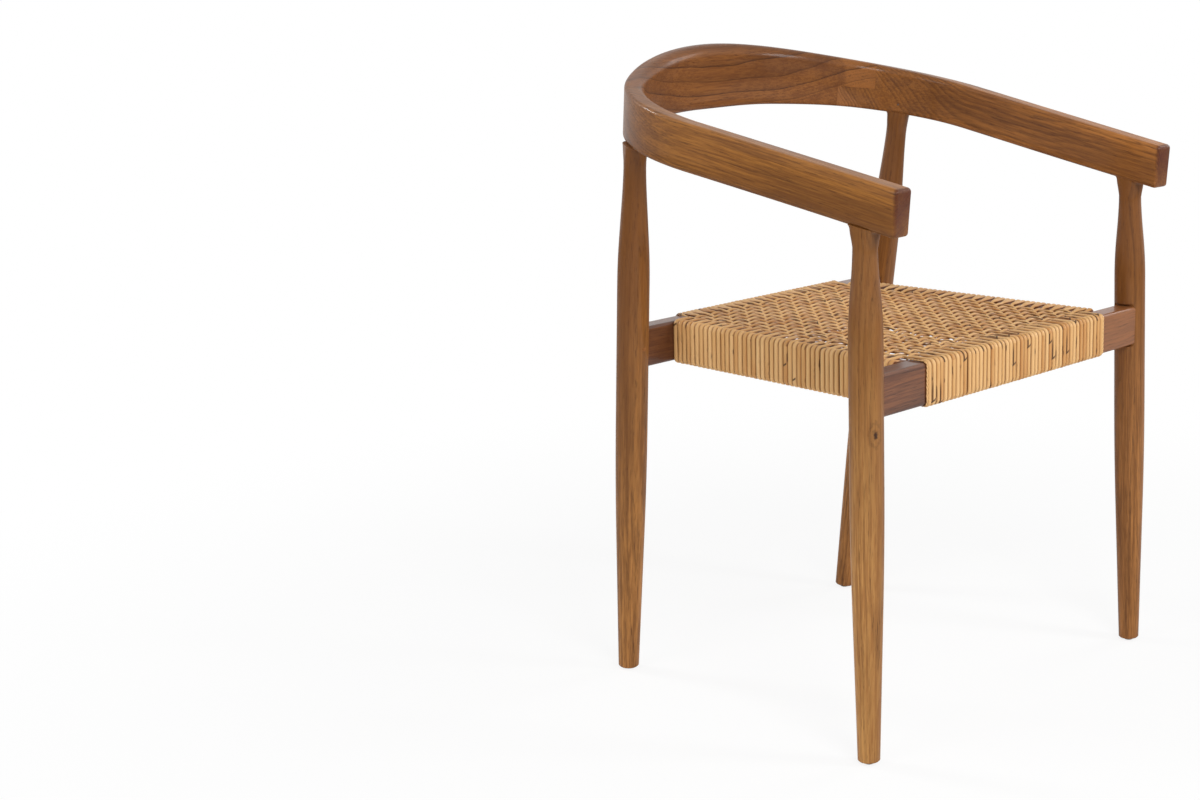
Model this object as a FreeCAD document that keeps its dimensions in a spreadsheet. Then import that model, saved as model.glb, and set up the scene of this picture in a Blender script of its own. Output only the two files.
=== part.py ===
import FreeCAD, Part
import math
import os

import Sketcher
from FreeCAD import Placement, Rotation, Vector

# A teak armchair with a woven rattan seat.
# Millimetres, +X to the sitter's left, -Y to the front, +Z up.
# The origin is on the floor at the middle of the chair's width and depth.
# The left side is modelled and mirrored to make the right side.

# Driving sizes
SIZES = {
    # Stance
    "seat_height": 442.5,
    "front_foot_spread": 540.0,
    "back_foot_spread": 426.0,
    "front_foot_setback": 7.6,
    "back_foot_setback": 439.0,
    # Arms and crest, which run round in one curve
    "arm_spread": 548.8,
    "arm_overhang": 33.5,
    "arm_straight": 295.0,
    "arm_splay_angle": 2.2,
    "corner_radius": 200.0,
    "crest_radius": 350.0,
    "arm_front_height": 646.9,
    "crest_top_height": 761.0,
    "arm_depth": 52.8,
    "crest_depth": 80.5,
    "arm_end_thickness": 28.0,
    "ring_thickness": 23.5,
    "ring_lean": 3.0,
    "crest_scoop": 2.5,
    "edge_round": 4.5,
    "arm_end_round": 4.0,
    "crest_lip_round": 13.0,
    # Stepped lap between an arm and the crest
    "lap_length": 54.0,
    "lap_rise_height": 700.0,
    "arm_seam_distance": 502.0,
    # Turned legs
    "leg_diameter": 38.6,
    "leg_foot_diameter": 25.4,
    "front_neck_diameter": 27.2,
    "back_neck_diameter": 26.2,
    "foot_taper_length": 250.0,
    "front_neck_length": 35.4,
    "back_neck_length": 35.7,
    "front_neck_taper": 64.0,
    "back_neck_taper": 106.0,
    "leg_blend_radius": 500.0,
    "leg_tenon_diameter": 12.0,
    "leg_tenon_length": 28.0,
    "front_leg_reach": 47.0,
    "back_leg_reach": 412.0,
    "front_leg_offset": 1.7,
    "back_leg_offset": 2.2,
    # Flats on the legs where the rails seat
    "flat_depth": 6.3,
    "flat_margin": 0.8,
    "flat_runout_radius": 2.0,
    # Rails
    "rail_height": 48.5,
    "rail_round": 4.0,
    "front_rail_thickness": 28.0,
    "back_rail_thickness": 26.0,
    "side_rail_thickness": 24.0,
    "back_rail_face": 383.3,
    "side_rail_front_inset": 76.2,
    "side_rail_back_inset": 69.3,
    "rail_housing": 3.0,
    "tenon_thickness": 12.0,
    "tenon_height": 32.0,
    "leg_mortise_depth": 14.0,
    "rail_mortise_depth": 15.0,
    # Pegs and pins
    "peg_diameter": 6.5,
    "peg_length": 22.0,
    "pin_diameter": 2.4,
    "pin_length": 16.0,
    "pin_rise": 12.0,
    "pin_sink": 0.3,
    # Woven seat
    "strand_thickness": 2.0,
    "deck_thickness": 3.2,
    "deck_recess": 0.6,
    "deck_opening": 18.4,
    "deck_rim": 6.0,
    # Foot glides
    "glide_diameter": 12.0,
    "glide_height": 3.0,
    "glide_round": 1.0,
    "nail_diameter": 2.2,
    "nail_length": 14.0,
    # Spare length of a cutting solid past what it cuts
    "overrun": 20.0,
}

# Stations along half of the curve, from an arm's end to the middle of the crest.
# Each row: how far along, then how much of the crest's extra depth, the arm end's extra
# thickness, the outward lean, the crest's soft inner lip and its scooped face it has.
STATION_SHARES = (
    (0.000, 0.00, 1.00, 0.0, 0.00, 0.00),
    (0.200, 0.05, 0.55, -0.5, 0.00, 0.02),
    (0.417, 0.10, 0.15, 0.2, 0.10, 0.05),
    (0.512, 0.14, 0.00, 0.7, 0.25, 0.15),
    (0.607, 0.23, 0.00, 1.0, 0.45, 0.30),
    (0.703, 0.38, 0.00, 1.0, 0.70, 0.60),
    (0.850, 0.75, 0.00, 0.7, 1.00, 1.00),
    (1.000, 1.00, 0.00, 0.5, 1.00, 1.00),
)
# Steps between sections on the straight arm, round the corner and to the middle of the crest
ARM_STEPS = 2
CORNER_STEPS = 9
CREST_STEPS = 6
# Steps round the rounded edge of an arm's end
END_STEPS = 3
# Openings across the woven sheet, each way
DECK_OPENINGS = 10
# Share of a full climb that a slope easing off as a parabola makes
LEVELLING_SHARE = 2 / 3
# How much of the arm's slope its sections lean by
SECTION_TILT_SHARE = 0.5
# Least scoop, as a share of the full one, so that every inner face is an arc
LEAST_SCOOP_SHARE = 0.02
# Two lengths closer than this share of the overrun are the same
SAME_SHARE = 1e-5


# The document and its sheet of sizes
DOC = FreeCAD.newDocument("Armchair")
SHEET = DOC.addObject("Spreadsheet::Sheet", "Sizes")
SHEET.Label = "Sizes"


def add_size(row, alias, value):
    """Write one named size into the sheet."""
    SHEET.set(f"A{row}", alias)
    SHEET.set(f"B{row}", repr(float(value)))
    SHEET.setAlias(f"B{row}", alias)


for sheet_row, (size_name, size_value) in enumerate(SIZES.items(), start=1):
    add_size(sheet_row, size_name, size_value)
DOC.recompute()


def size(alias):
    """Read one named size back from the sheet."""
    return float(SHEET.get(alias))


def cell(alias):
    """The expression that names a size's cell."""
    return f"Sizes.{alias}"


def same(first, second):
    """Whether two lengths are the same."""
    return abs(first - second) < size("overrun") * SAME_SHARE


def derive(alias, value):
    """Add a size that is worked out from the others, so that objects can be bound to it."""
    row = 1
    while SHEET.getContents(f"A{row}"):
        row += 1
    add_size(row, alias, value)
    SHEET.recompute()


# The curve of the arms and crest
class RingPath:
    """The outer top edge: a straight arm, a corner arc and half of the crest's arc.

    Its middle is placed so that the origin is halfway from the arms' ends to the crest's back.
    """

    def __init__(self):
        self.splay = math.radians(size("arm_splay_angle"))
        self.straight = size("arm_straight")
        self.corner = size("corner_radius")
        self.crest = size("crest_radius")
        self.start = Vector(size("arm_spread") / 2, 0, 0)
        self.bend = self.start + self.heading(self.splay) * self.straight
        self.corner_centre = self.bend - self.outward(self.splay) * self.corner
        reach = self.corner_centre.x / (self.crest - self.corner)
        self.turned = -math.acos(reach)
        self.crest_centre = self.corner_centre - self.outward(self.turned) * (self.crest - self.corner)
        self.corner_end = self.straight + self.corner * (self.splay - self.turned)
        self.half = self.corner_end + self.crest * (math.pi / 2 + self.turned)
        depth = self.crest_centre.y + self.crest + size("ring_lean") * STATION_SHARES[-1][3]
        for point in (self.start, self.bend, self.corner_centre, self.crest_centre):
            point.y -= depth / 2
        climb = self.corner_end + LEVELLING_SHARE * (self.half - self.corner_end)
        self.slope = (size("crest_top_height") - size("arm_front_height")) / climb

    @staticmethod
    def heading(angle):
        """Direction of travel, for an angle from +Y towards +X."""
        return Vector(math.sin(angle), math.cos(angle), 0)

    @staticmethod
    def outward(angle):
        """Outward normal of that direction."""
        return Vector(math.cos(angle), -math.sin(angle), 0)

    def frame(self, distance):
        """Point on the outer top edge, outward normal and upward direction of the section there."""
        if distance > self.half:
            point, outward, up = self.frame(2 * self.half - distance)
            return tuple(Vector(-v.x, v.y, v.z) for v in (point, outward, up))
        if distance <= self.straight:
            angle = self.splay
            point = self.start + self.heading(angle) * distance
        elif distance <= self.corner_end:
            angle = self.splay - (distance - self.straight) / self.corner
            point = self.corner_centre + self.outward(angle) * self.corner
        else:
            angle = self.turned - (distance - self.corner_end) / self.crest
            point = self.crest_centre + self.outward(angle) * self.crest
        height, slope = self.top(distance)
        point = Vector(point.x, point.y, height)
        tilt = math.atan(slope) * SECTION_TILT_SHARE
        up = Vector(0, 0, math.cos(tilt)) - self.heading(angle) * math.sin(tilt)
        return point, self.outward(angle), up

    def top(self, distance):
        """Height and slope of the top edge: a steady climb that levels off along the crest."""
        first = min(distance, self.corner_end)
        height = size("arm_front_height") + self.slope * first
        rest = distance - first
        if rest <= 0:
            return height, self.slope
        crest_half = self.half - self.corner_end
        part = rest / crest_half
        height += self.slope * crest_half * (part - part**3 / 3)
        return height, self.slope * (1 - part**2)


PATH = RingPath()
# The front rail's front face, from which setbacks are measured
FRONT_FACE = PATH.start.y + size("arm_overhang")


def column_slope(row, column):
    """Slope of one of the station table's columns at a row, level at the middle of the crest."""
    if row + 1 == len(STATION_SHARES):
        return 0.0
    before, after = STATION_SHARES[max(row - 1, 0)], STATION_SHARES[row + 1]
    return (after[column] - before[column]) / (after[0] - before[0])


def station_share(share, column):
    """One of the station table's columns at any share of the half curve, as a smooth curve."""
    row = max(index for index, station in enumerate(STATION_SHARES[:-1]) if station[0] <= share)
    low, high = STATION_SHARES[row], STATION_SHARES[row + 1]
    width = high[0] - low[0]
    part = (share - low[0]) / width
    rise = 3 * part**2 - 2 * part**3
    leaving = (part - 2 * part**2 + part**3) * width * column_slope(row, column)
    arriving = (part**3 - part**2) * width * column_slope(row + 1, column)
    return low[column] + (high[column] - low[column]) * rise + leaving + arriving


def section_sizes(distance):
    """Depth, thickness, lean, lip radius and scoop of the section at a distance."""
    share = max(0, min(distance, 2 * PATH.half - distance) / PATH.half)
    deep, thick, lean, lip, scoop = (station_share(share, column) for column in range(1, 6))
    return (
        size("arm_depth") + (size("crest_depth") - size("arm_depth")) * deep,
        size("ring_thickness") + (size("arm_end_thickness") - size("ring_thickness")) * thick,
        size("ring_lean") * lean,
        size("edge_round") + (size("crest_lip_round") - size("edge_round")) * lip,
        size("crest_scoop") * max(scoop, LEAST_SCOOP_SHARE),
    )


def end_inset(distance):
    """How far the rounded edge of an arm's end draws the section in at a distance from the end."""
    radius = size("arm_end_round")
    left = radius - min(distance, 2 * PATH.half - distance)
    if left <= 0:
        return 0.0
    return radius - math.sqrt(max(radius**2 - left**2, 0))


def rounded_corner(before, corner, after, radius):
    """The two ends and the middle of the arc that rounds a corner."""
    toward_before = (before - corner).normalize()
    toward_after = (after - corner).normalize()
    half_angle = toward_before.getAngle(toward_after) / 2
    setback = radius / math.tan(half_angle)
    bisector = (toward_before + toward_after).normalize()
    middle = corner + bisector * (radius / math.sin(half_angle) - radius)
    return corner + toward_before * setback, middle, corner + toward_after * setback


def ring_section(distance):
    """The closed outline of the arms and crest at a distance along the curve."""
    origin, outward, up = PATH.frame(distance)
    depth, thickness, lean, lip, scoop = section_sizes(distance)
    inset = end_inset(distance)
    top, low = -inset, inset - depth
    outer, inner = -inset, inset - thickness
    corners = (
        origin + outward * outer + up * top,
        origin + outward * (lean + outer) + up * low,
        origin + outward * (lean + inner) + up * low,
        origin + outward * inner + up * top,
    )
    edge = size("edge_round") - inset
    radii = (edge, edge, edge, lip - inset)
    arcs = []
    for index, radius in enumerate(radii):
        arcs.append(rounded_corner(corners[index - 1], corners[index], corners[(index + 1) % 4], radius))
    edges = []
    for index, (first, middle, last) in enumerate(arcs):
        edges.append(Part.Arc(first, middle, last).toShape())
        following = arcs[(index + 1) % 4][0]
        if index == 2:
            halfway = (last + following) / 2 + outward * scoop
            edges.append(Part.Arc(last, halfway, following).toShape())
        else:
            edges.append(Part.makeLine(last, following))
    return Part.Wire(edges)


def section_distances():
    """Where the sections stand on half of the curve: even steps, closer where it turns."""
    radius = size("arm_end_round")
    stretches = (
        (radius, PATH.straight, ARM_STEPS),
        (PATH.straight, PATH.corner_end, CORNER_STEPS),
        (PATH.corner_end, PATH.half, CREST_STEPS),
    )
    turns = [math.pi / 2 * step / END_STEPS for step in range(END_STEPS + 1)]
    distances = [radius * (1 - math.cos(turn)) for turn in turns]
    for start, end, steps in stretches:
        distances += [start + (end - start) * step / steps for step in range(1, steps + 1)]
    return distances


def ring_blank():
    """Arms and crest in one piece, before the joints are cut."""
    half_distances = section_distances()
    distances = half_distances + [2 * PATH.half - d for d in reversed(half_distances[:-1])]
    blank = DOC.addObject("Part::Feature", "ring_blank")
    blank.Shape = Part.makeLoft([ring_section(d) for d in distances], True, True)
    return blank


# Helpers for bodies and sketches
def origin_plane(body, role):
    """One of a body's own origin planes."""
    return [item for item in body.Origin.OriginFeatures if item.Role == role][0]


def new_sketch(body, name, role):
    """An empty sketch on one of a body's own planes."""
    sketch = body.newObject("Sketcher::SketchObject", name)
    sketch.AttachmentSupport = [(origin_plane(body, role), "")]
    sketch.MapMode = "FlatFace"
    return sketch


def pin_point(sketch, edge, across, upward):
    """Tie the first point of an edge to named sizes, or to an axis where the name is None."""
    if across is None:
        sketch.addConstraint(Sketcher.Constraint("PointOnObject", edge, 1, -2))
    else:
        index = sketch.addConstraint(Sketcher.Constraint("DistanceX", -1, 1, edge, 1, size(across)))
        sketch.setExpression(f"Constraints[{index}]", cell(across))
    if upward is None:
        sketch.addConstraint(Sketcher.Constraint("PointOnObject", edge, 1, -1))
    else:
        index = sketch.addConstraint(Sketcher.Constraint("DistanceY", -1, 1, edge, 1, size(upward)))
        sketch.setExpression(f"Constraints[{index}]", cell(upward))


def named_outline(sketch, corners):
    """A closed outline of straight lines whose corners are pairs of named sizes."""
    points = [Vector(size(x) if x else 0, size(y) if y else 0, 0) for x, y in corners]
    closed = points + points[:1]
    for start, end in zip(closed, closed[1:]):
        sketch.addGeometry(Part.LineSegment(start, end), False)
    for edge in range(len(points)):
        following = (edge + 1) % len(points)
        sketch.addConstraint(Sketcher.Constraint("Coincident", edge, 2, following, 1))
    for edge, (x, y) in enumerate(corners):
        pin_point(sketch, edge, x, y)


def centred_rectangle(sketch, width, height):
    """A rectangle centred on the sketch's origin, sized by two cells."""
    x, y = size(width) / 2, size(height) / 2
    corners = [Vector(-x, -y, 0), Vector(x, -y, 0), Vector(x, y, 0), Vector(-x, y, 0)]
    for start, end in zip(corners, corners[1:] + corners[:1]):
        sketch.addGeometry(Part.LineSegment(start, end), False)
    for edge in range(4):
        sketch.addConstraint(Sketcher.Constraint("Coincident", edge, 2, (edge + 1) % 4, 1))
    sketch.addConstraint(Sketcher.Constraint("Horizontal", 0))
    sketch.addConstraint(Sketcher.Constraint("Vertical", 1))
    sketch.addConstraint(Sketcher.Constraint("Horizontal", 2))
    sketch.addConstraint(Sketcher.Constraint("Symmetric", 0, 1, 1, 2, -1, 1))
    across = sketch.addConstraint(Sketcher.Constraint("DistanceX", 0, 1, 0, 2, size(width)))
    sketch.setExpression(f"Constraints[{across}]", cell(width))
    upward = sketch.addConstraint(Sketcher.Constraint("DistanceY", 1, 1, 1, 2, size(height)))
    sketch.setExpression(f"Constraints[{upward}]", cell(height))


def symmetric_pad(body, sketch, name, length):
    """A pad that runs the same way to both sides of its sketch."""
    pad = body.newObject("PartDesign::Pad", name)
    pad.Profile = sketch
    pad.SideType = "Symmetric"
    pad.setExpression("Length", cell(length))
    return pad


def fillet_edges(body, feature, name, radius, wanted):
    """Round the edges of a feature for which the test is true."""
    DOC.recompute()
    chosen = [f"Edge{i}" for i, edge in enumerate(feature.Shape.Edges, start=1) if wanted(edge)]
    fillet = body.newObject("PartDesign::Fillet", name)
    fillet.Base = (feature, chosen)
    fillet.setExpression("Radius", cell(radius))
    return fillet


def soften_corner(sketch, edge, radius):
    """Round the corner at an edge's end with an arc, and keep the corner's own sizes."""
    before = sketch.GeometryCount
    sketch.fillet(edge, 2, size(radius), True, True)
    for added in range(before, sketch.GeometryCount):
        if isinstance(sketch.Geometry[added], Part.ArcOfCircle):
            index = sketch.addConstraint(Sketcher.Constraint("Radius", added, size(radius)))
            sketch.setExpression(f"Constraints[{index}]", cell(radius))


def turned_body(name, corners, softened=()):
    """A body revolved about its Z axis from an outline of named sizes."""
    body = DOC.addObject("PartDesign::Body", name)
    sketch = new_sketch(body, f"{name}_outline", "XZ_Plane")
    named_outline(sketch, corners)
    for edge, radius in softened:
        soften_corner(sketch, edge, radius)
    turning = body.newObject("PartDesign::Revolution", f"{name}_turning")
    turning.Profile = sketch
    turning.ReferenceAxis = (sketch, ["V_Axis"])
    turning.Angle = 360
    return body


def combine(kind, name, parts):
    """A fuse or common of several objects."""
    joined = DOC.addObject(kind, name)
    joined.Shapes = parts
    return joined


def cut(name, base, tool):
    """One object less another."""
    result = DOC.addObject("Part::Cut", name)
    result.Base = base
    result.Tool = tool
    return result


def mirrored(name, source):
    """A copy reflected to the right side."""
    copy = DOC.addObject("Part::Mirroring", name)
    copy.Source = source
    copy.Normal = Vector(1, 0, 0)
    copy.Base = Vector(0, 0, 0)
    return copy


def along(direction, turned_by=0):
    """The rotation that takes +Z to a direction, after a turn about Z."""
    return Rotation(Vector(0, 0, 1), direction) * Rotation(Vector(0, 0, 1), turned_by)


def underside(distance):
    """The middle of the curve's underside at a distance."""
    point, outward, up = PATH.frame(distance)
    depth, thickness, lean, _, _ = section_sizes(distance)
    return point + outward * (lean - thickness / 2) - up * depth


# The stance of the left legs
class LegStance:
    """Where a left leg stands, and where it meets the arm."""

    def __init__(self, name):
        reach = size(f"{name}_leg_reach")
        step = size(f"{name}_neck_diameter") / 2
        self.reach = reach
        self.foot = Vector(
            size(f"{name}_foot_spread") / 2,
            FRONT_FACE + size(f"{name}_foot_setback"),
            size("glide_height"),
        )
        self.outward = PATH.frame(reach)[1]
        self.top = underside(reach) + self.outward * size(f"{name}_leg_offset")
        self.forward = (underside(reach + step) - underside(reach - step)).normalize()
        self.axis = (self.top - self.foot).normalize()
        self.length = (self.top - self.foot).Length
        self.start = self.foot - self.axis * size("overrun")

    def at_height(self, height):
        """The point of the leg's axis at a height."""
        return self.foot + self.axis * ((height - self.foot.z) / self.axis.z)


FRONT_LEG = LegStance("front")
BACK_LEG = LegStance("back")
RAIL_CENTRE = size("seat_height") - size("rail_height") / 2

# Sizes that follow from the driving ones
derive("leg_radius", size("leg_diameter") / 2)
derive("foot_radius", size("leg_foot_diameter") / 2)
derive("belly_low", size("foot_taper_length") + size("overrun"))
derive("leg_tenon_radius", size("leg_tenon_diameter") / 2)
derive("leg_tenon_rod", size("leg_tenon_length") + size("overrun"))
derive("flat_face", size("leg_radius") - size("flat_depth"))
derive("flat_outer", size("leg_radius") + size("overrun"))
derive("flat_low", RAIL_CENTRE - size("rail_height") / 2 - size("flat_margin") + size("overrun"))
derive("flat_high", size("flat_low") + size("rail_height") + 2 * size("flat_margin"))
derive("sleeve_height", size("rail_height") + 2 * size("strand_thickness"))
derive("sleeve_round", size("rail_round") + size("strand_thickness"))


# Turned legs
def leg_blank(name, stance):
    """A turned leg with its rail flat, standing at its place and too long at both ends."""
    body_name = f"{name}_leg"
    neck_low = stance.length + size("overrun") - size(f"{name}_neck_length")
    derive(f"{name}_neck_low", neck_low)
    derive(f"{name}_belly_high", neck_low - size(f"{name}_neck_taper"))
    derive(f"{name}_neck_radius", size(f"{name}_neck_diameter") / 2)
    derive(f"{name}_leg_blank_end", stance.length + 2 * size("overrun"))
    body = turned_body(
        body_name,
        [
            (None, None),
            ("foot_radius", None),
            ("leg_radius", "belly_low"),
            ("leg_radius", f"{name}_belly_high"),
            (f"{name}_neck_radius", f"{name}_neck_low"),
            (f"{name}_neck_radius", f"{name}_leg_blank_end"),
            (None, f"{name}_leg_blank_end"),
        ],
        [(edge, "leg_blend_radius") for edge in (2, 3)],
    )
    rail_flat(body, body_name)
    body.Placement = Placement(stance.start, along(stance.axis, 180))
    return body


def shoulder_trim(name, stance):
    """A block above the plane of the arm's underside, where a leg's shoulder seats."""
    block = DOC.addObject("Part::Box", f"{name}_shoulder_trim")
    block.Length = 2 * size("leg_diameter")
    block.Width = 2 * size("leg_diameter")
    block.Height = 2 * size("overrun")
    corner = stance.top - (stance.outward + stance.forward) * size("leg_diameter")
    upward = stance.outward.cross(stance.forward)
    block.Placement = Placement(corner, Rotation(stance.outward, stance.forward, upward, "ZYX"))
    return block


def tenon_rod(name, stance):
    """A leg's round tenon, from inside the leg to its end in the arm."""
    start = stance.top - stance.axis * size("overrun")
    return cylinder(f"{name}_tenon_rod", "leg_tenon_radius", "leg_tenon_rod", start, stance.axis)


def finished_leg(name, stance, rod, tools):
    """The left leg: its shoulder trimmed, its tenon added and its joints cut."""
    blank = cut(f"{name}_leg_shouldered", leg_blank(name, stance), shoulder_trim(name, stance))
    whole = combine("Part::MultiFuse", f"{name}_leg_whole", [blank, rod])
    return cut(f"{name}_leg_left", whole, combine("Part::MultiFuse", f"{name}_leg_cuts", tools))


def pin_start():
    """Where the pin that locks the left back leg's tenon enters the arm's inner face."""
    point, outward, up = PATH.frame(BACK_LEG.reach)
    depth, thickness, lean, _, _ = section_sizes(BACK_LEG.reach)
    drop = depth - size("pin_rise")
    return point - up * drop + outward * (lean * drop / depth - thickness + size("pin_sink"))


def rail_flat(body, name):
    """The flat that seats a rail, with a small round where it runs out above and below it."""
    face, outer = size("flat_face"), size("flat_outer")
    low, high = size("flat_low"), size("flat_high")
    radius = size("flat_runout_radius")
    top, bottom = high + radius, low - radius
    sketch = new_sketch(body, f"{name}_flat_outline", "XZ_Plane")
    upper, lower = Vector(face + radius, high, 0), Vector(face + radius, low, 0)
    up, quarter = Vector(0, 0, 1), math.pi / 2
    for geometry in (
        Part.LineSegment(Vector(face, low, 0), Vector(face, high, 0)),
        Part.ArcOfCircle(Part.Circle(upper, up, radius), quarter, 2 * quarter),
        Part.LineSegment(Vector(upper.x, top, 0), Vector(outer, top, 0)),
        Part.LineSegment(Vector(outer, top, 0), Vector(outer, bottom, 0)),
        Part.LineSegment(Vector(outer, bottom, 0), Vector(lower.x, bottom, 0)),
        Part.ArcOfCircle(Part.Circle(lower, up, radius), 2 * quarter, 3 * quarter),
    ):
        sketch.addGeometry(geometry, False)
    joints = ((0, 2, 1, 2), (1, 1, 2, 1), (2, 2, 3, 1), (3, 2, 4, 1), (4, 2, 5, 2), (5, 1, 0, 1))
    for joint in joints:
        sketch.addConstraint(Sketcher.Constraint("Coincident", *joint))
    for way, line in (("Vertical", 0), ("Horizontal", 2), ("Vertical", 3), ("Horizontal", 4)):
        sketch.addConstraint(Sketcher.Constraint(way, line))
    for arc, end in ((1, 2), (5, 1)):
        sketch.addConstraint(Sketcher.Constraint("Horizontal", arc, end, arc, 3))
        sketch.addConstraint(Sketcher.Constraint("Vertical", arc, 3 - end, arc, 3))
    pin_point(sketch, 0, "flat_face", "flat_low")
    for kind, geometry, value, source in (
        ("DistanceY", (0, 1, 0, 2), high - low, f"{cell('flat_high')} - {cell('flat_low')}"),
        ("DistanceX", (0, 1, 3, 2), outer - face, f"{cell('flat_outer')} - {cell('flat_face')}"),
        ("Radius", (1,), radius, cell("flat_runout_radius")),
        ("Radius", (5,), radius, cell("flat_runout_radius")),
    ):
        index = sketch.addConstraint(Sketcher.Constraint(kind, *geometry, value))
        sketch.setExpression(f"Constraints[{index}]", source)
    pocket = body.newObject("PartDesign::Pocket", f"{name}_flat")
    pocket.Profile = sketch
    pocket.Type = "ThroughAll"
    pocket.SideType = "Symmetric"


def cylinder(name, radius, length, base, direction):
    """A cylinder bound to two cells, from a point along a direction."""
    rod = DOC.addObject("Part::Cylinder", name)
    rod.setExpression("Radius", cell(radius))
    rod.setExpression("Height", cell(length))
    rod.Placement = Placement(base, along(direction))
    return rod


# Rails
def rail_body(name, thickness, length, tenon_length):
    """A rail with rounded long edges and a tenon at each end, along its own X axis."""
    body = DOC.addObject("PartDesign::Body", name)
    sketch = new_sketch(body, f"{name}_section", "YZ_Plane")
    centred_rectangle(sketch, thickness, "rail_height")
    pad = symmetric_pad(body, sketch, f"{name}_length", length)

    def is_long(edge):
        return same(edge.Length, size(length))

    fillet_edges(body, pad, f"{name}_rounds", "rail_round", is_long)
    tenon_sketch = new_sketch(body, f"{name}_tenon_section", "YZ_Plane")
    centred_rectangle(tenon_sketch, "tenon_thickness", "tenon_height")
    symmetric_pad(body, tenon_sketch, f"{name}_tenons", tenon_length)
    return body


def cross_rail(name, stance, thickness, face):
    """A front or back rail between a left leg and its mirror image."""
    leg_centre = stance.at_height(RAIL_CENTRE).x
    seat = leg_centre - size("flat_face") + size("rail_housing")
    derive(f"{name}_length_full", 2 * seat)
    derive(f"{name}_tenon_full", 2 * (seat + size("leg_mortise_depth")))
    body = rail_body(name, thickness, f"{name}_length_full", f"{name}_tenon_full")
    body.Placement = Placement(Vector(0, face + size(thickness) / 2, RAIL_CENTRE), Rotation())
    return body


class SideLine:
    """The centre line of the left side rail, from the front rail to the back rail."""

    def __init__(self):
        self.near = FRONT_FACE + size("front_rail_thickness")
        self.far = FRONT_FACE + size("back_rail_face")
        front_x = FRONT_LEG.at_height(RAIL_CENTRE).x - size("side_rail_front_inset")
        back_x = BACK_LEG.at_height(RAIL_CENTRE).x - size("side_rail_back_inset")
        self.front = Vector(front_x, self.near, RAIL_CENTRE)
        self.back = Vector(back_x, self.far, RAIL_CENTRE)
        self.middle = (self.front + self.back) / 2
        self.length = (self.back - self.front).Length
        run = self.back - self.front
        self.angle = math.degrees(math.atan2(run.y, run.x))
        self.placement = Placement(self.middle, Rotation(Vector(0, 0, 1), self.angle))


SIDE = SideLine()
derive("side_rail_blank", SIDE.length + size("rail_housing"))
derive("side_rail_tenons", SIDE.length + 2 * size("rail_mortise_depth"))
derive("side_sleeve_length", SIDE.length + 2 * size("strand_thickness"))
derive("side_sleeve_thickness", size("side_rail_thickness") + 2 * size("strand_thickness"))
derive("front_sleeve_thickness", size("front_rail_thickness") + 2 * size("strand_thickness"))
derive("back_sleeve_thickness", size("back_rail_thickness") + 2 * size("strand_thickness"))
derive("front_sleeve_length", 2 * SIDE.front.x - size("side_rail_thickness"))
derive("back_sleeve_length", 2 * SIDE.back.x - size("side_rail_thickness"))


def tenon_block(name):
    """The space that a side rail's two tenons fill."""
    block = DOC.addObject("Part::Box", name)
    block.setExpression("Length", cell("side_rail_tenons"))
    block.setExpression("Width", cell("tenon_thickness"))
    block.setExpression("Height", cell("tenon_height"))
    corner = Vector(size("side_rail_tenons"), size("tenon_thickness"), size("tenon_height")) / -2
    block.Placement = SIDE.placement * Placement(corner, Rotation())
    return block


def sleeve_body(name, placement):
    """A wrap of strands round a rail, before the rail is taken out of it."""
    length = f"{name}_length"
    body = DOC.addObject("PartDesign::Body", name)
    sketch = new_sketch(body, f"{name}_section", "YZ_Plane")
    centred_rectangle(sketch, f"{name}_thickness", "sleeve_height")
    pad = symmetric_pad(body, sketch, f"{name}_pad", length)

    def is_long(edge):
        return same(edge.Length, size(length))

    fillet_edges(body, pad, f"{name}_rounds", "sleeve_round", is_long)
    body.Placement = placement
    return body


# The arms and crest, cut apart at the stepped laps
def region_before(name, distance, reach, from_height, to_height):
    """A block on the left arm's side of a seam, between two heights."""
    point, outward, up = PATH.frame(distance)
    forward = outward.cross(up)
    across = 2 * size("corner_radius")
    block = DOC.addObject("Part::Box", name)
    block.Length = across
    block.Width = reach
    block.Height = to_height - from_height
    level = point + up * ((from_height - point.z) / up.z)
    corner = level + outward * (size("ring_lean") + size("overrun"))
    block.Placement = Placement(corner, Rotation(-outward, forward, up, "ZYX"))
    return block


def lap_regions():
    """The space of the left arm: all of it up to the upper seam, and its finger below the step."""
    seam = size("arm_seam_distance")
    step = size("lap_rise_height")
    above = size("crest_top_height") + size("overrun")
    lap = size("lap_length")
    finger = region_before("arm_finger_space", seam, 2 * lap, step - size("crest_depth"), step)
    main = region_before("arm_main_space", seam - lap, PATH.half, 0, above)
    return combine("Part::MultiFuse", "left_arm_space", [finger, main])


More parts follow.
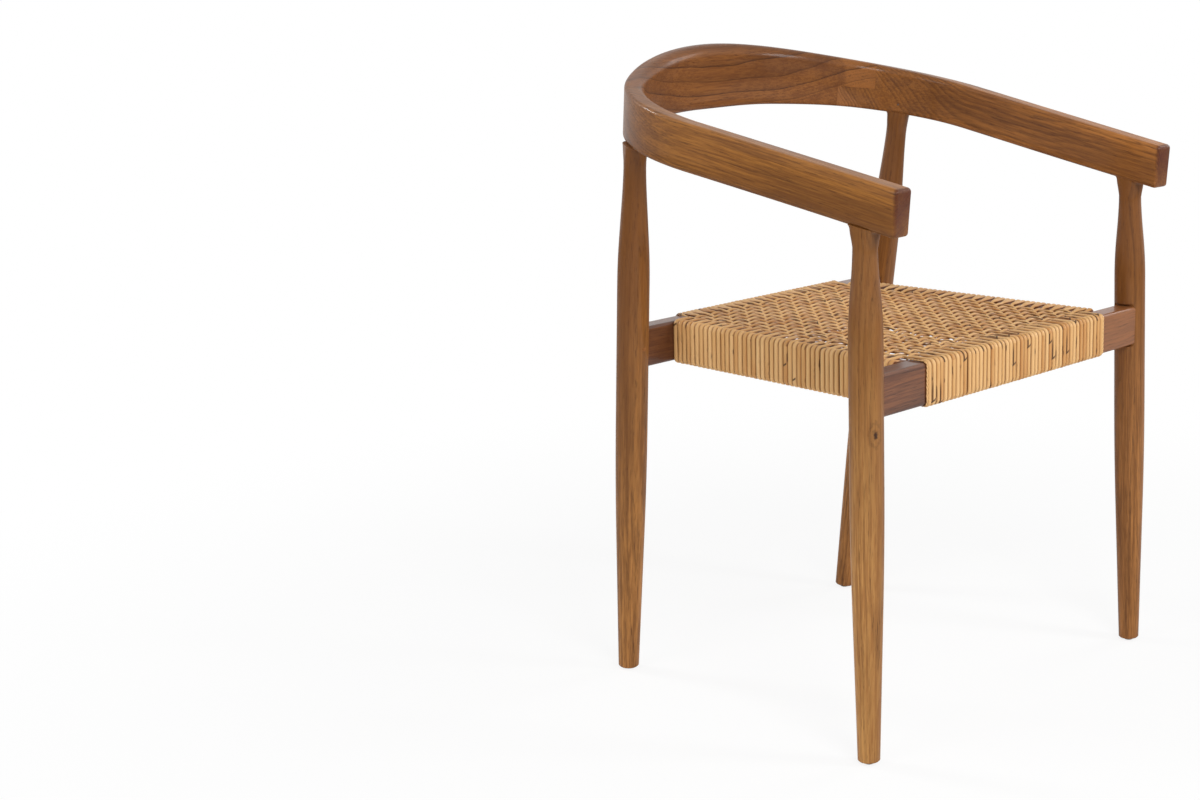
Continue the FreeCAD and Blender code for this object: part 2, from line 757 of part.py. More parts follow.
def chair():
    """Build every sub-part and return them by name."""
    # Solids that several pieces share
    ring = ring_blank()
    left_space = lap_regions()
    right_space = mirrored("right_arm_space", left_space)
    front_rod = tenon_rod("front", FRONT_LEG)
    back_rod = tenon_rod("back", BACK_LEG)

    # Pins that lock the back legs' tenons, each sunk a little into its hole
    derive("pin_radius", size("pin_diameter") / 2)
    derive("pin_hole_length", size("pin_length") + size("overrun"))
    outward = BACK_LEG.outward
    hole_start = pin_start() - outward * size("overrun")
    left_pin = cylinder("left_tenon_pin", "pin_radius", "pin_length", pin_start(), outward)
    pin_hole = cylinder("left_pin_hole", "pin_radius", "pin_hole_length", hole_start, outward)

    # Arms and crest
    left_piece = combine("Part::MultiCommon", "left_arm_piece", [ring, left_space])
    arm_holes = combine("Part::MultiFuse", "left_arm_holes", [front_rod, back_rod, pin_hole])
    arm_left = cut("arm_left", left_piece, arm_holes)
    arm_right = mirrored("arm_right", arm_left)
    both_spaces = combine("Part::MultiFuse", "arm_spaces", [left_space, right_space])
    crest = cut("crest_rail", ring, both_spaces)

    # Rails
    front_body = cross_rail("front_rail_body", FRONT_LEG, "front_rail_thickness", FRONT_FACE)
    back_body = cross_rail("back_rail_body", BACK_LEG, "back_rail_thickness", SIDE.far)
    left_tenons = tenon_block("left_side_tenons")
    side_mortises = combine(
        "Part::MultiFuse", "side_mortises", [left_tenons, mirrored("right_side_tenons", left_tenons)]
    )
    derive("peg_radius", size("peg_diameter") / 2)
    peg_at = BACK_LEG.at_height(RAIL_CENTRE)
    peg_start = Vector(peg_at.x, peg_at.y - size("leg_radius"), RAIL_CENTRE)
    left_peg = cylinder("peg_left", "peg_radius", "peg_length", peg_start, Vector(0, 1, 0))
    right_peg = mirrored("peg_right", left_peg)
    back_holes = combine("Part::MultiFuse", "back_rail_holes", [side_mortises, left_peg, right_peg])
    front_rail = cut("front_rail", front_body, side_mortises)
    back_rail = cut("back_rail", back_body, back_holes)
    cross_rails = combine("Part::MultiFuse", "cross_rails", [front_rail, back_rail])
    side_body = rail_body("side_rail_body", "side_rail_thickness", "side_rail_blank", "side_rail_tenons")
    side_body.Placement = SIDE.placement
    side_left = cut("side_rail_left", side_body, cross_rails)
    side_right = mirrored("side_rail_right", side_left)

    # Foot glides
    derive("glide_radius", size("glide_diameter") / 2)
    derive("glide_crown", size("glide_radius") - size("glide_round"))
    derive("nail_radius", size("nail_diameter") / 2)
    derive("nail_end", size("glide_height") + size("nail_length"))
    glides = {}
    for label, stance in (("front", FRONT_LEG), ("back", BACK_LEG)):
        body = turned_body(
            f"glide_{label}_left",
            [
                (None, None),
                ("glide_crown", None),
                ("glide_radius", "glide_round"),
                ("glide_radius", "glide_height"),
                ("nail_radius", "glide_height"),
                ("nail_radius", "nail_end"),
                (None, "nail_end"),
            ],
        )
        body.Placement = Placement(Vector(stance.foot.x, stance.foot.y, 0), Rotation())
        glides[f"glide_{label}_left"] = body
        glides[f"glide_{label}_right"] = mirrored(f"glide_{label}_right", body)

    # Legs, trimmed level at the floor
    floor = DOC.addObject("Part::Box", "floor_trim")
    floor.Length = size("front_foot_spread")
    floor.Width = size("back_foot_setback") + 2 * size("leg_diameter")
    floor.Height = 2 * size("overrun")
    floor.Placement = Placement(
        Vector(0, FRONT_FACE - size("leg_diameter"), size("glide_height") - 2 * size("overrun")),
        Rotation(),
    )
    front_tools = [floor, front_rail, glides["glide_front_left"]]
    back_tools = [floor, back_rail, glides["glide_back_left"], left_pin, left_peg]
    legs = {}
    for name, stance, rod, tools in (
        ("front", FRONT_LEG, front_rod, front_tools),
        ("back", BACK_LEG, back_rod, back_tools),
    ):
        left_leg = finished_leg(name, stance, rod, tools)
        legs[f"{name}_leg_left"] = left_leg
        legs[f"{name}_leg_right"] = mirrored(f"{name}_leg_right", left_leg)

    # Woven seat
    front_sleeve = sleeve_body("front_sleeve", front_body.Placement)
    back_sleeve = sleeve_body("back_sleeve", back_body.Placement)
    side_sleeve = sleeve_body("side_sleeve", SIDE.placement)
    front_core = combine("Part::MultiFuse", "front_core", [front_rail, side_left, side_right])
    back_core = combine("Part::MultiFuse", "back_core", [back_rail, side_left, side_right])
    front_wrap = cut("front_wrap", front_sleeve, front_core)
    back_wrap = cut("back_wrap", back_sleeve, back_core)
    side_neighbours = [side_left, front_rail, back_rail, front_wrap, back_wrap]
    side_core = combine("Part::MultiFuse", "side_core", side_neighbours)
    side_wrap_left = cut("side_wrap_left", side_sleeve, side_core)
    side_wrap_right = mirrored("side_wrap_right", side_wrap_left)
    deck = deck_blank()
    deck_edge = combine(
        "Part::MultiFuse",
        "deck_edge",
        [front_wrap, back_wrap, side_wrap_left, side_wrap_right],
    )
    seat_deck = cut("seat_deck", cut("deck_sheet", deck, deck_openings()), deck_edge)

    # Both locking pins share one node
    tenon_pins = combine("Part::MultiFuse", "tenon_pins", [left_pin, mirrored("right_tenon_pin", left_pin)])

    pieces = {
        "crest_rail": crest,
        "arm_left": arm_left,
        "arm_right": arm_right,
        "front_rail": front_rail,
        "back_rail": back_rail,
        "side_rail_left": side_left,
        "side_rail_right": side_right,
        "seat_deck": seat_deck,
        "front_wrap": front_wrap,
        "back_wrap": back_wrap,
        "side_wrap_left": side_wrap_left,
        "side_wrap_right": side_wrap_right,
        "peg_left": left_peg,
        "peg_right": right_peg,
        "tenon_pins": tenon_pins,
    }
    pieces.update(legs)
    pieces.update(glides)
    return pieces


def deck_blank():
    """The woven sheet between the rails, reaching to the rails' centre lines."""
    top = size("seat_height") + size("strand_thickness") - size("deck_recess")
    low = top - size("deck_thickness")
    half = size("side_rail_thickness") / 2
    corners = [
        Vector(-SIDE.front.x + half, SIDE.near, low),
        Vector(SIDE.front.x - half, SIDE.near, low),
        Vector(SIDE.back.x - half, SIDE.far, low),
        Vector(-SIDE.back.x + half, SIDE.far, low),
    ]
    blank = DOC.addObject("Part::Feature", "deck_blank")
    blank.Shape = Part.Face(Part.makePolygon(corners + corners[:1])).extrude(
        Vector(0, 0, size("deck_thickness"))
    )
    return blank


def deck_openings():
    """A plain grid of square openings in the woven sheet, clear of the rails."""
    opening, rim = size("deck_opening"), size("deck_rim")
    pitch_x = (2 * SIDE.front.x - size("side_rail_thickness")) / DECK_OPENINGS
    pitch_y = (SIDE.far - SIDE.near) / DECK_OPENINGS
    places = []
    for row in range(DECK_OPENINGS):
        y = SIDE.near + pitch_y * (row + 1 / 2)
        share = (y + opening / 2 - SIDE.near) / (SIDE.far - SIDE.near)
        edge = SIDE.front.x + (SIDE.back.x - SIDE.front.x) * share - size("side_rail_thickness") / 2
        for column in range(DECK_OPENINGS):
            x = pitch_x * (column + 1 / 2 - DECK_OPENINGS / 2)
            if abs(x) + opening / 2 + rim < edge:
                places.append(Vector(x - opening / 2, y - opening / 2, RAIL_CENTRE))
    boxes = []
    for number, corner in enumerate(places):
        box = DOC.addObject("Part::Box", f"deck_opening_{number}")
        box.setExpression("Length", cell("deck_opening"))
        box.setExpression("Width", cell("deck_opening"))
        box.setExpression("Height", cell("rail_height"))
        box.Placement = Placement(corner, Rotation())
        boxes.append(box)
    grid = DOC.addObject("Part::Compound", "deck_openings")
    grid.Links = boxes
    return grid


def check_and_write(pieces):
    """Stop at any failed object, then write each sub-part to its own file."""
    DOC.recompute()
    for item in DOC.Objects:
        if "Invalid" in item.State or "Error" in item.State:
            raise RuntimeError(f"{item.Name} failed: {item.State}")
    os.makedirs("parts", exist_ok=True)
    for name, item in pieces.items():
        shape = item.Shape
        if shape.isNull() or not shape.isValid() or not shape.Solids:
            raise RuntimeError(f"{name} has no valid shape")
        item.Label = name
    for name, item in pieces.items():
        shape = item.Shape
        shape.exportStep(f"parts/{name}.step")
        box = shape.BoundBox
        low = f"{box.XMin:.1f} {box.YMin:.1f} {box.ZMin:.1f}"
        high = f"{box.XMax:.1f} {box.YMax:.1f} {box.ZMax:.1f}"
        print(f"{name}: {len(shape.Solids)} solid, {shape.Volume:.0f} mm3, from {low} to {high}")


check_and_write(chair())
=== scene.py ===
"""A teak armchair with a woven rattan seat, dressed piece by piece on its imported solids.

Everything is in metres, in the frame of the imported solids: the sitter looks along -Y, the sitter's
left is +X, and the floor is at Z = 0.
"""

import logging
import math
import random
from dataclasses import dataclass, field
from enum import Enum
from typing import Sequence, Union

import bpy
from mathutils import Matrix, Vector


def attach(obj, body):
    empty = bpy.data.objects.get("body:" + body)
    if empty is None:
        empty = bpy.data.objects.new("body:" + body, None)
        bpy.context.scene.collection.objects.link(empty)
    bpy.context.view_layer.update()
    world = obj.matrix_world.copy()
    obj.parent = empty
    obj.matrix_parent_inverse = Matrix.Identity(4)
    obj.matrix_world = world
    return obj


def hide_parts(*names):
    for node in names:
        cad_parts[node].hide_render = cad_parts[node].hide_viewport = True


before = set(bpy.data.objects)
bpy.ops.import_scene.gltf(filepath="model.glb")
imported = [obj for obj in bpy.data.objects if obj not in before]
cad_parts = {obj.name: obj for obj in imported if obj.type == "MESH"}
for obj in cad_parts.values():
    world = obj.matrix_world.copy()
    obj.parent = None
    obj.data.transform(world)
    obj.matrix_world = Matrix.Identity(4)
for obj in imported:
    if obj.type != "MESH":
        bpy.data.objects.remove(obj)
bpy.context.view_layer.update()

LOG = logging.getLogger("armchair")
BODY = "root"
Piece = bpy.types.Object
Pair = tuple[float, float]
Triple = tuple[float, float, float]
Colour = tuple[float, float, float, float]
WHITE: Colour = (1.0, 1.0, 1.0, 1.0)
UP = Vector((0, 0, 1))


class Hand(Enum):
    """Which side of the chair a piece belongs to, as the sitter sees it."""

    LEFT = 1
    RIGHT = -1

    @property
    def word(self) -> str:
        """The side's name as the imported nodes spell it."""
        return self.name.lower()


class End(Enum):
    """Front or back of the chair."""

    FRONT = "front"
    BACK = "back"


def paint(*parts: int) -> Colour:
    """Turn a colour as a painter reads it off a screen into the shader's linear one.

    Args:
        parts: Red, green and blue from 0 to 255.

    Returns:
        Linear red, green and blue, with full cover.
    """
    shares = [part / 255 for part in parts]
    red, green, blue = (
        share / 12.92 if share <= 0.04045 else ((share + 0.055) / 1.055) ** 2.4 for share in shares
    )
    return (red, green, blue, 1.0)


def lerp(first: float, second: float, share: float) -> float:
    """Return the number a share of the way from one to another."""
    return first + (second - first) * share


def steps_to(start: float, stop: float, count: int) -> list[float]:
    """Return even steps from a start, which is left out, to a stop."""
    return [lerp(start, stop, step / count) for step in range(1, count + 1)]


def ease(share: float) -> float:
    """Return a share from 0 to 1 that starts and ends softly."""
    share = min(max(share, 0.0), 1.0)
    return share * share * (3 - 2 * share)


def mirrored(point: Vector) -> Vector:
    """Return a point or direction on the chair's other side."""
    return Vector((-point.x, point.y, point.z))


def distances_along(points: Sequence[Sequence[float]]) -> list[float]:
    """Measure how far along a line each of its points lies.

    Args:
        points: The line's points.

    Returns:
        The distances, the first of them zero.
    """
    walked = [0.0]
    for first, second in zip(points, points[1:]):
        walked.append(walked[-1] + math.dist(first, second))
    return walked


# Bench work
class Bench:
    """The few operators that every piece is made and finished with."""

    @staticmethod
    def clear() -> None:
        """Leave edit mode and let go of everything."""
        if bpy.context.mode != "OBJECT":
            bpy.ops.object.mode_set(mode="OBJECT")
        bpy.ops.object.select_all(action="DESELECT")

    @staticmethod
    def take(*pieces: Piece) -> None:
        """Select pieces alone.

        Args:
            pieces: The pieces to select, the first of them active.
        """
        Bench.clear()
        for piece in pieces:
            piece.select_set(True)
        bpy.context.view_layer.objects.active = pieces[0]

    @staticmethod
    def named(name: str) -> Piece:
        """Name the active object and its data.

        Args:
            name: The name.

        Returns:
            The active object.
        """
        piece = bpy.context.active_object
        piece.name = piece.data.name = name
        return piece

    @staticmethod
    def settle(piece: Piece) -> None:
        """Put an object's place, turn and scale into its mesh."""
        Bench.take(piece)
        bpy.ops.object.transform_apply(location=True, rotation=True, scale=True)

    @staticmethod
    def outward(piece: Piece) -> None:
        """Turn every face of a closed piece outwards.

        Args:
            piece: The piece.
        """
        Bench.take(piece)
        bpy.ops.object.mode_set(mode="EDIT")
        bpy.ops.mesh.select_all(action="SELECT")
        bpy.ops.mesh.normals_make_consistent(inside=False)
        Bench.clear()

    @staticmethod
    def modify(piece: Piece, kind: str, **settings: object) -> None:
        """Add a modifier to a piece and apply it.

        Args:
            piece: The piece to change.
            kind: The modifier's type.
            settings: The modifier's properties and their values.
        """
        Bench.take(piece)
        change = piece.modifiers.new(kind.lower(), kind)
        for name, value in settings.items():
            setattr(change, name, value)
        bpy.ops.object.modifier_apply(modifier=change.name)

    @staticmethod
    def combine(piece: Piece, tool: Piece, how: str) -> None:
        """Cut, join or keep wood with another solid: DIFFERENCE, UNION or INTERSECT."""
        Bench.modify(piece, "BOOLEAN", operation=how, solver="EXACT", object=tool)

    @staticmethod
    def finish(piece: Piece, width: float, sharp: float, shaded: float) -> None:
        """Take the sharp edges off a piece and shade it smoothly.

        Args:
            piece: The piece to work.
            width: Width of the bevel.
            sharp: Only edges that turn by more than this many degrees are eased.
            shaded: Only edges that turn by more than this many degrees stay crisp.
        """
        angle = math.radians(sharp)
        Bench.modify(piece, "BEVEL", width=width, segments=1, limit_method="ANGLE", angle_limit=angle)
        Bench.smooth(piece, shaded)

    @staticmethod
    def smooth(piece: Piece, angle: float) -> None:
        """Shade a piece smoothly, but for edges sharper than an angle in degrees."""
        Bench.take(piece)
        bpy.ops.object.shade_smooth_by_angle(angle=math.radians(angle))

    @staticmethod
    def copy(piece: Piece, name: str) -> Piece:
        """Copy a piece with its own mesh.

        Args:
            piece: What to copy.
            name: The copy's name.

        Returns:
            The copy.
        """
        Bench.take(piece)
        bpy.ops.object.duplicate()
        return Bench.named(name)

    @staticmethod
    def block(name: str, corner: Vector, axes: Sequence[Vector], spans: Sequence[float]) -> Piece:
        """Make a block that cuts or keeps wood.

        Args:
            name: The block's name.
            corner: The corner that its three axes start from.
            axes: Its three directions.
            spans: Its length along each of them.

        Returns:
            The block, settled.
        """
        Bench.clear()
        bpy.ops.mesh.primitive_cube_add(size=1)
        block = Bench.named(name)
        edges = [axis * span for axis, span in zip(axes, spans)]
        centre = corner + sum((edge / 2 for edge in edges), Vector())
        block.matrix_world = Matrix.Translation(centre) @ Matrix(edges).transposed().to_4x4()
        Bench.settle(block)
        Bench.outward(block)
        return block

    @staticmethod
    def tube(name: str, rows: Sequence[Sequence[Vector]]) -> Piece:
        """Make a closed tube by extruding a ring, then bend and swell it into place.

        Args:
            name: The piece's name.
            rows: The points of each ring, from one end to the other.

        Returns:
            The closed tube, its faces outwards.
        """
        Bench.clear()
        around = len(rows[0])
        bpy.ops.mesh.primitive_circle_add(vertices=around, radius=1, fill_type="NGON")
        piece = Bench.named(name)
        bpy.ops.object.mode_set(mode="EDIT")
        bpy.ops.mesh.select_all(action="SELECT")
        for _ in rows[1:]:
            bpy.ops.mesh.extrude_region_move(TRANSFORM_OT_translate={"value": UP})
        bpy.ops.object.mode_set(mode="OBJECT")
        for vertex in piece.data.vertices:
            turn = math.atan2(vertex.co.y, vertex.co.x) / math.tau * around
            vertex.co = rows[round(vertex.co.z)][round(turn) % around]
        Bench.outward(piece)
        return piece


def place(piece: Piece, material: bpy.types.Material, slot: str, *nodes: str) -> None:
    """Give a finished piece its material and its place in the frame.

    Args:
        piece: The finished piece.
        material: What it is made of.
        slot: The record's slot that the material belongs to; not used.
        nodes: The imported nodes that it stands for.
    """
    piece.data.materials.clear()
    piece.data.materials.append(material)
    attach(piece, BODY)
    if nodes:
        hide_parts(*nodes)
    LOG.info("%s stands for %s, %d faces", piece.name, nodes, len(piece.data.polygons))


# Shader wiring
Value = Union["Signal", float, Sequence[float], None]


class Signal:
    """What a node puts out. Arithmetic on it adds Math nodes."""

    def __init__(self, wiring: "Wiring", socket: bpy.types.NodeSocket) -> None:
        """Hold an output and the wiring that it belongs to."""
        self.wiring = wiring
        self.socket = socket

    def __add__(self, other: Value) -> "Signal":
        """Add another value."""
        return self.wiring.maths("ADD", self, other)

    def __sub__(self, other: Value) -> "Signal":
        """Take another value away."""
        return self.wiring.maths("SUBTRACT", self, other)

    def __rsub__(self, other: float) -> "Signal":
        """Take this away from a number."""
        return self.wiring.maths("SUBTRACT", other, self)

    def __mul__(self, other: Value) -> "Signal":
        """Multiply by another value."""
        return self.wiring.maths("MULTIPLY", self, other)

    def __truediv__(self, other: Value) -> "Signal":
        """Divide by another value."""
        return self.wiring.maths("DIVIDE", self, other)

    def __or__(self, other: Value) -> "Signal":
        """Keep the larger of the two."""
        return self.wiring.maths("MAXIMUM", self, other)

    def __abs__(self) -> "Signal":
        """Drop the sign."""
        return self.wiring.maths("ABSOLUTE", self)

    def floor(self) -> "Signal":
        """Round down."""
        return self.wiring.maths("FLOOR", self)

    def fract(self) -> "Signal":
        """Keep what rounding down drops."""
        return self.wiring.maths("FRACT", self)

    def spread(self, low: Value, high: Value, to_low: float = 0.0, to_high: float = 1.0) -> "Signal":
        """Map a range of values to another, with soft ends.

        Args:
            low: The range's start.
            high: The range's end.
            to_low: What the start becomes.
            to_high: What the end becomes.

        Returns:
            The mapped value.
        """
        sockets = {"Value": self, "From Min": low, "From Max": high, "To Min": to_low, "To Max": to_high}
        return self.wiring.read("ShaderNodeMapRange", sockets, "Result", interpolation_type="SMOOTHSTEP")

    def fade(self, low: Value, high: Value) -> "Signal":
        """Map a range of values to what falls from one to zero."""
        return self.spread(low, high, 1.0, 0.0)


class Wiring:
    """Sets nodes in a tree from left to right and joins them."""

    spacing: Pair = (190, 160)
    rows: int = 4

    def __init__(self, tree: bpy.types.NodeTree) -> None:
        """Start on a tree, cleared of what it holds."""
        self.tree = tree
        tree.nodes.clear()

    def feed(self, socket: bpy.types.NodeSocket, value: Value) -> None:
        """Join an output to an input, or write a plain value on it.

        Args:
            socket: The input.
            value: What feeds it. None leaves it as it is.
        """
        if isinstance(value, Signal):
            self.tree.links.new(value.socket, socket)
        elif value is not None:
            socket.default_value = value

    def node(self, kind: str, sockets: dict | None = None, **settings: object) -> bpy.types.Node:
        """Add a node.

        Args:
            kind: The node's type.
            sockets: Its inputs, by name or number, and what feeds them.
            settings: Its properties and their values.

        Returns:
            The node.
        """
        column = len(self.tree.nodes)
        made = self.tree.nodes.new(kind)
        made.location = (column * self.spacing[0], -(column % self.rows) * self.spacing[1])
        for name, value in settings.items():
            setattr(made, name, value)
        for key, value in (sockets or {}).items():
            self.feed(made.inputs[key], value)
        return made

    def read(
        self, kind: str, sockets: dict | None = None, output: str | int = 0, **settings: object
    ) -> Signal:
        """Add a node and read one of its outputs, by name or number."""
        return Signal(self, self.node(kind, sockets, **settings).outputs[output])

    def maths(self, how: str, first: Value, second: Value = None) -> Signal:
        """Add a Math node."""
        return self.read("ShaderNodeMath", {0: first, 1: second}, operation=how)

    def vector(self, how: str, first: Value, second: Value = None) -> Signal:
        """Add a Vector Math node. Lengths and dot products come out as numbers."""
        output = "Value" if how in ("LENGTH", "DOT_PRODUCT") else 0
        return self.read("ShaderNodeVectorMath", {0: first, 1: second}, output, operation=how)

    def mix(self, share: Value, first: Value, second: Value) -> Signal:
        """Blend two colours by the share of the second."""
        return self.read("ShaderNodeMix", {0: share, 6: first, 7: second}, 2, data_type="RGBA")

    def combine(self, **parts: Value) -> Signal:
        """Put X, Y and Z together."""
        return self.read("ShaderNodeCombineXYZ", parts)

    def luck(self, number: Value) -> Signal:
        """Draw a random share for each whole number."""
        return self.read("ShaderNodeTexWhiteNoise", {"W": number}, "Value", noise_dimensions="1D")

    def spot(self) -> Signal:
        """Read the place on the chair, in metres."""
        return self.read("ShaderNodeTexCoord", output="Object")

    def noise(
        self,
        place_at: Signal,
        stretch: Triple,
        octaves: float = 2.0,
        rough: float = 0.5,
        output: str | int = 0,
    ) -> Signal:
        """Add a noise that is stretched along the axes.

        Args:
            place_at: Where it is read.
            stretch: Its frequency along each axis, per metre.
            octaves: Its number of octaves.
            rough: How strong the finer octaves are.
            output: The output that is read.

        Returns:
            The noise.
        """
        scaled = self.vector("MULTIPLY", place_at, stretch)
        sockets = {"Vector": scaled, "Scale": 1.0, "Detail": octaves, "Roughness": rough, "Distortion": 0.0}
        return self.read("ShaderNodeTexNoise", sockets, output, noise_dimensions="3D")

    def wander(self, place_at: Signal, stretch: Triple, reach: Value) -> Signal:
        """Add a noise that shifts a place to either side by up to half a reach along each axis."""
        centred = self.vector("SUBTRACT", self.noise(place_at, stretch, output="Color"), (0.5, 0.5, 0.5))
        return self.vector("MULTIPLY", centred, reach)

    def use(self, tree: bpy.types.NodeTree, **values: Value) -> dict[str, Signal]:
        """Place a shader group.

        Args:
            tree: The group.
            values: What feeds its inputs, with underscores for spaces.

        Returns:
            Its outputs by name.
        """
        sockets = {name.replace("_", " "): value for name, value in values.items()}
        made = self.node("ShaderNodeGroup", sockets, node_tree=tree)
        return {output.name: Signal(self, output) for output in made.outputs}

    def surface(
        self, colour: Signal, rough: Signal, height: Value = None, bump: Pair = (0.0, 0.0), **constants: float
    ) -> None:
        """Close a material with its main shader.

        Args:
            colour: The base colour.
            rough: The roughness.
            height: The relief's height.
            bump: The relief's strength and its depth in metres.
            constants: Other sockets of the shader, with underscores for spaces.
        """
        normal = None
        if height is not None:
            normal = self.read("ShaderNodeBump", {"Strength": bump[0], "Distance": bump[1], "Height": height})
        sockets = {name.replace("_", " "): value for name, value in constants.items()}
        sockets |= {"Base Color": colour, "Roughness": rough, "Normal": normal}
        shader = self.read("ShaderNodeBsdfPrincipled", sockets)
        self.node("ShaderNodeOutputMaterial", {"Surface": shader})


def open_group(name: str, **inputs: float | None) -> tuple[Wiring, list[Signal]]:
    """Start a shader group.

    Args:
        name: The group's name.
        inputs: Its inputs, with underscores for spaces, and their first values. A vector has none.

    Returns:
        Its wiring, and its inputs in order.
    """
    tree = bpy.data.node_groups.new(name, "ShaderNodeTree")
    for label, value in inputs.items():
        kind = "NodeSocketVector" if value is None else "NodeSocketFloat"
        socket = tree.interface.new_socket(name=label.replace("_", " "), in_out="INPUT", socket_type=kind)
        if value is not None:
            socket.default_value = value
    wiring = Wiring(tree)
    given = wiring.node("NodeGroupInput").outputs
    return wiring, [Signal(wiring, given[index]) for index in range(len(inputs))]


def close_group(wiring: Wiring, **outputs: Signal) -> bpy.types.NodeTree:
    """Put out a shader group's results.

    Args:
        wiring: The group's wiring.
        outputs: Its results by name.

    Returns:
        The group's tree.
    """
    for label in outputs:
        wiring.tree.interface.new_socket(name=label, in_out="OUTPUT", socket_type="NodeSocketFloat")
    wiring.node("NodeGroupOutput", outputs)
    return wiring.tree


@dataclass(frozen=True)
class TeakFigure:
    """How teak is drawn on a board whose X runs along the grain: frequencies are per metre."""

    drift: Triple = (4.2, 11.0, 11.0)
    ripple: Triple = (42.0, 110.0, 110.0)
    ripple_reach: Triple = (0.0, 0.0014, 0.0014)
    vein_patches: Triple = (6.0, 30.0, 30.0)
    wide_fibres: Triple = (5.0, 95.0, 95.0)
    narrow_fibres: Triple = (16.0, 420.0, 420.0)
    pores: Triple = (60.0, 900.0, 900.0)
    tone: Triple = (2.0, 16.0, 16.0)

    def tree(self) -> bpy.types.NodeTree:
        """Build the group that draws veins, growth rings, fibre streaks and pores.

        Returns:
            A group whose Position has the tree's middle at Y = Z = 0.
        """
        first_values = {"Ring_Spacing": 0.0035, "Vein_Spacing": 0.017, "Waviness": 0.02, "Vein_Cover": 0.5}
        wiring, given = open_group("teak_figure", Position=None, **first_values)
        position, ring_spacing, vein_spacing, waviness, cover = given
        shift = wiring.wander(position, self.drift, wiring.combine(Y=waviness, Z=waviness))
        ripple = wiring.wander(position, self.ripple, self.ripple_reach)
        bent = wiring.vector("ADD", wiring.vector("ADD", position, shift), ripple)
        radial = wiring.vector("LENGTH", wiring.vector("MULTIPLY", bent, (0.0, 1.0, 1.0)))
        # Few dark veins, each with its own strength
        veins_at = radial / vein_spacing
        part = veins_at.fract()
        thin = part.spread(0.0, 0.05) * part.fade(0.04, 0.17)
        shade = part.spread(0.03, 0.7, 0.32, 0.0) * part.spread(0.0, 0.03)
        strength = wiring.luck(veins_at.floor()).spread(0.2, 0.9, 0.1, 1.0)
        bare = 1.0 - cover
        patch = wiring.noise(position, self.vein_patches, 1.0).spread(bare - 0.22, bare + 0.12)
        veins = (thin | shade) * strength * patch
        # Growth rings between them
        rings_at = radial / ring_spacing
        season = rings_at.fract()
        ring_luck = wiring.luck(rings_at.floor()).spread(0.0, 1.0, 0.2, 1.0)
        rings = season.spread(0.0, 0.2) * season.fade(0.2, 0.9) * ring_luck
        # Fibres and pores
        wide = wiring.noise(position, self.wide_fibres, 3.0, 0.65)
        narrow = wiring.noise(position, self.narrow_fibres, 3.0, 0.7)
        streaks = wide * 0.4 + narrow * 0.6
        pores = wiring.noise(position, self.pores).spread(0.55, 0.68) * rings.spread(0.0, 0.8, 0.4, 1.0)
        return close_group(
            wiring,
            Veins=veins,
            Rings=rings,
            Streaks=streaks.spread(0.4, 0.6),
            Pores=pores,
            Tone=wiring.noise(position, self.tone).spread(0.34, 0.66),
            Height=streaks * 0.5 - (pores + veins * 0.3),
        )


@dataclass(frozen=True)
class RattanSkin:
    """How split rattan is drawn: frequencies are per metre across, along and from strand to strand."""

    fibres: Triple = (1700.0, 26.0, 9.0)
    blush: Triple = (90.0, 14.0, 5.0)
    dirt: Triple = (130.0, 42.0, 13.0)
    girth: float = 0.018
    strand_gap: float = 0.37
    dome_middle: float = 0.549
    joint_luck: float = 7.3
    joint_slant: float = 0.022
    crack_at: float = 0.2

    def tree(self) -> bpy.types.NodeTree:
        """Build the group that draws one strand after another from their own map.

        Returns:
            A group whose Map has the strand's number and the way round it in X, and metres along it in Y.
        """
        wiring, (strand_map, joint_spacing) = open_group("rattan_skin", Map=None, Joint_Spacing=0.42)
        parts = wiring.node("ShaderNodeSeparateXYZ", {0: strand_map}).outputs
        number, along = (Signal(wiring, parts[name]) for name in "XY")
        strand, around = number.floor(), number.fract()
        luck = wiring.luck(strand)
        spot = wiring.combine(X=around * self.girth, Y=along, Z=strand * self.strand_gap)
        fibres = wiring.noise(spot, self.fibres, 3.0, 0.6)
        across = around - self.dome_middle
        edge = abs(across)
        # Tucked ends and leaf scars: a slanting cut part way across, and a crack that runs on beside it
        joint_at = along / joint_spacing + luck * self.joint_luck + across * self.joint_slant
        step = joint_at.fract() - 0.5
        cut = abs(step).fade(0.0014, 0.004) * across.spread(-0.2, -0.12)
        beside = step.spread(-0.002, 0.002) * step.fade(0.03, 0.07)
        joints = cut | abs(across - self.crack_at).fade(0.03, 0.08) * beside
        dirt = wiring.noise(spot, self.dirt, 2.0, 0.6)
        return close_group(
            wiring,
            Tone=luck * 0.5 + wiring.noise(spot, self.blush) * 0.5,
            Fibres=fibres.spread(0.3, 0.7),
            Joints=joints,
            Stains=dirt.spread(0.58, 0.68) * edge.spread(0.1, 0.24),
            # partly the cane's darker split edges, partly painted shade in the valleys between strands
            Sides=edge.spread(0.1, 0.27) * 0.45 + edge.spread(0.24, 0.32) * 0.55,
            Height=fibres * 0.6 - joints * 0.9,
        )


@dataclass(frozen=True)
class HandlingMarks:
    """Wear that the finishes share: faint smudges in the sheen and settled dust, per metre."""

    smudges: Triple = (11.0, 11.0, 11.0)
    dust: Triple = (700.0, 700.0, 700.0)

    def tree(self) -> bpy.types.NodeTree:
        """Build the group.

        Returns:
            A group that reads a position in metres.
        """
        wiring, (position,) = open_group("handling", Position=None)
        smudges = wiring.noise(position, self.smudges, 3.0, 0.55).spread(0.35, 0.65)
        dust = wiring.noise(position, self.dust, 1.0).spread(0.62, 0.8)
        return close_group(wiring, Smudges=smudges, Dust=dust)


@dataclass
class Groups:
    """The shader groups that the finishes share."""

    teak: bpy.types.NodeTree = field(default_factory=TeakFigure().tree)
    rattan: bpy.types.NodeTree = field(default_factory=RattanSkin().tree)
    handling: bpy.types.NodeTree = field(default_factory=HandlingMarks().tree)


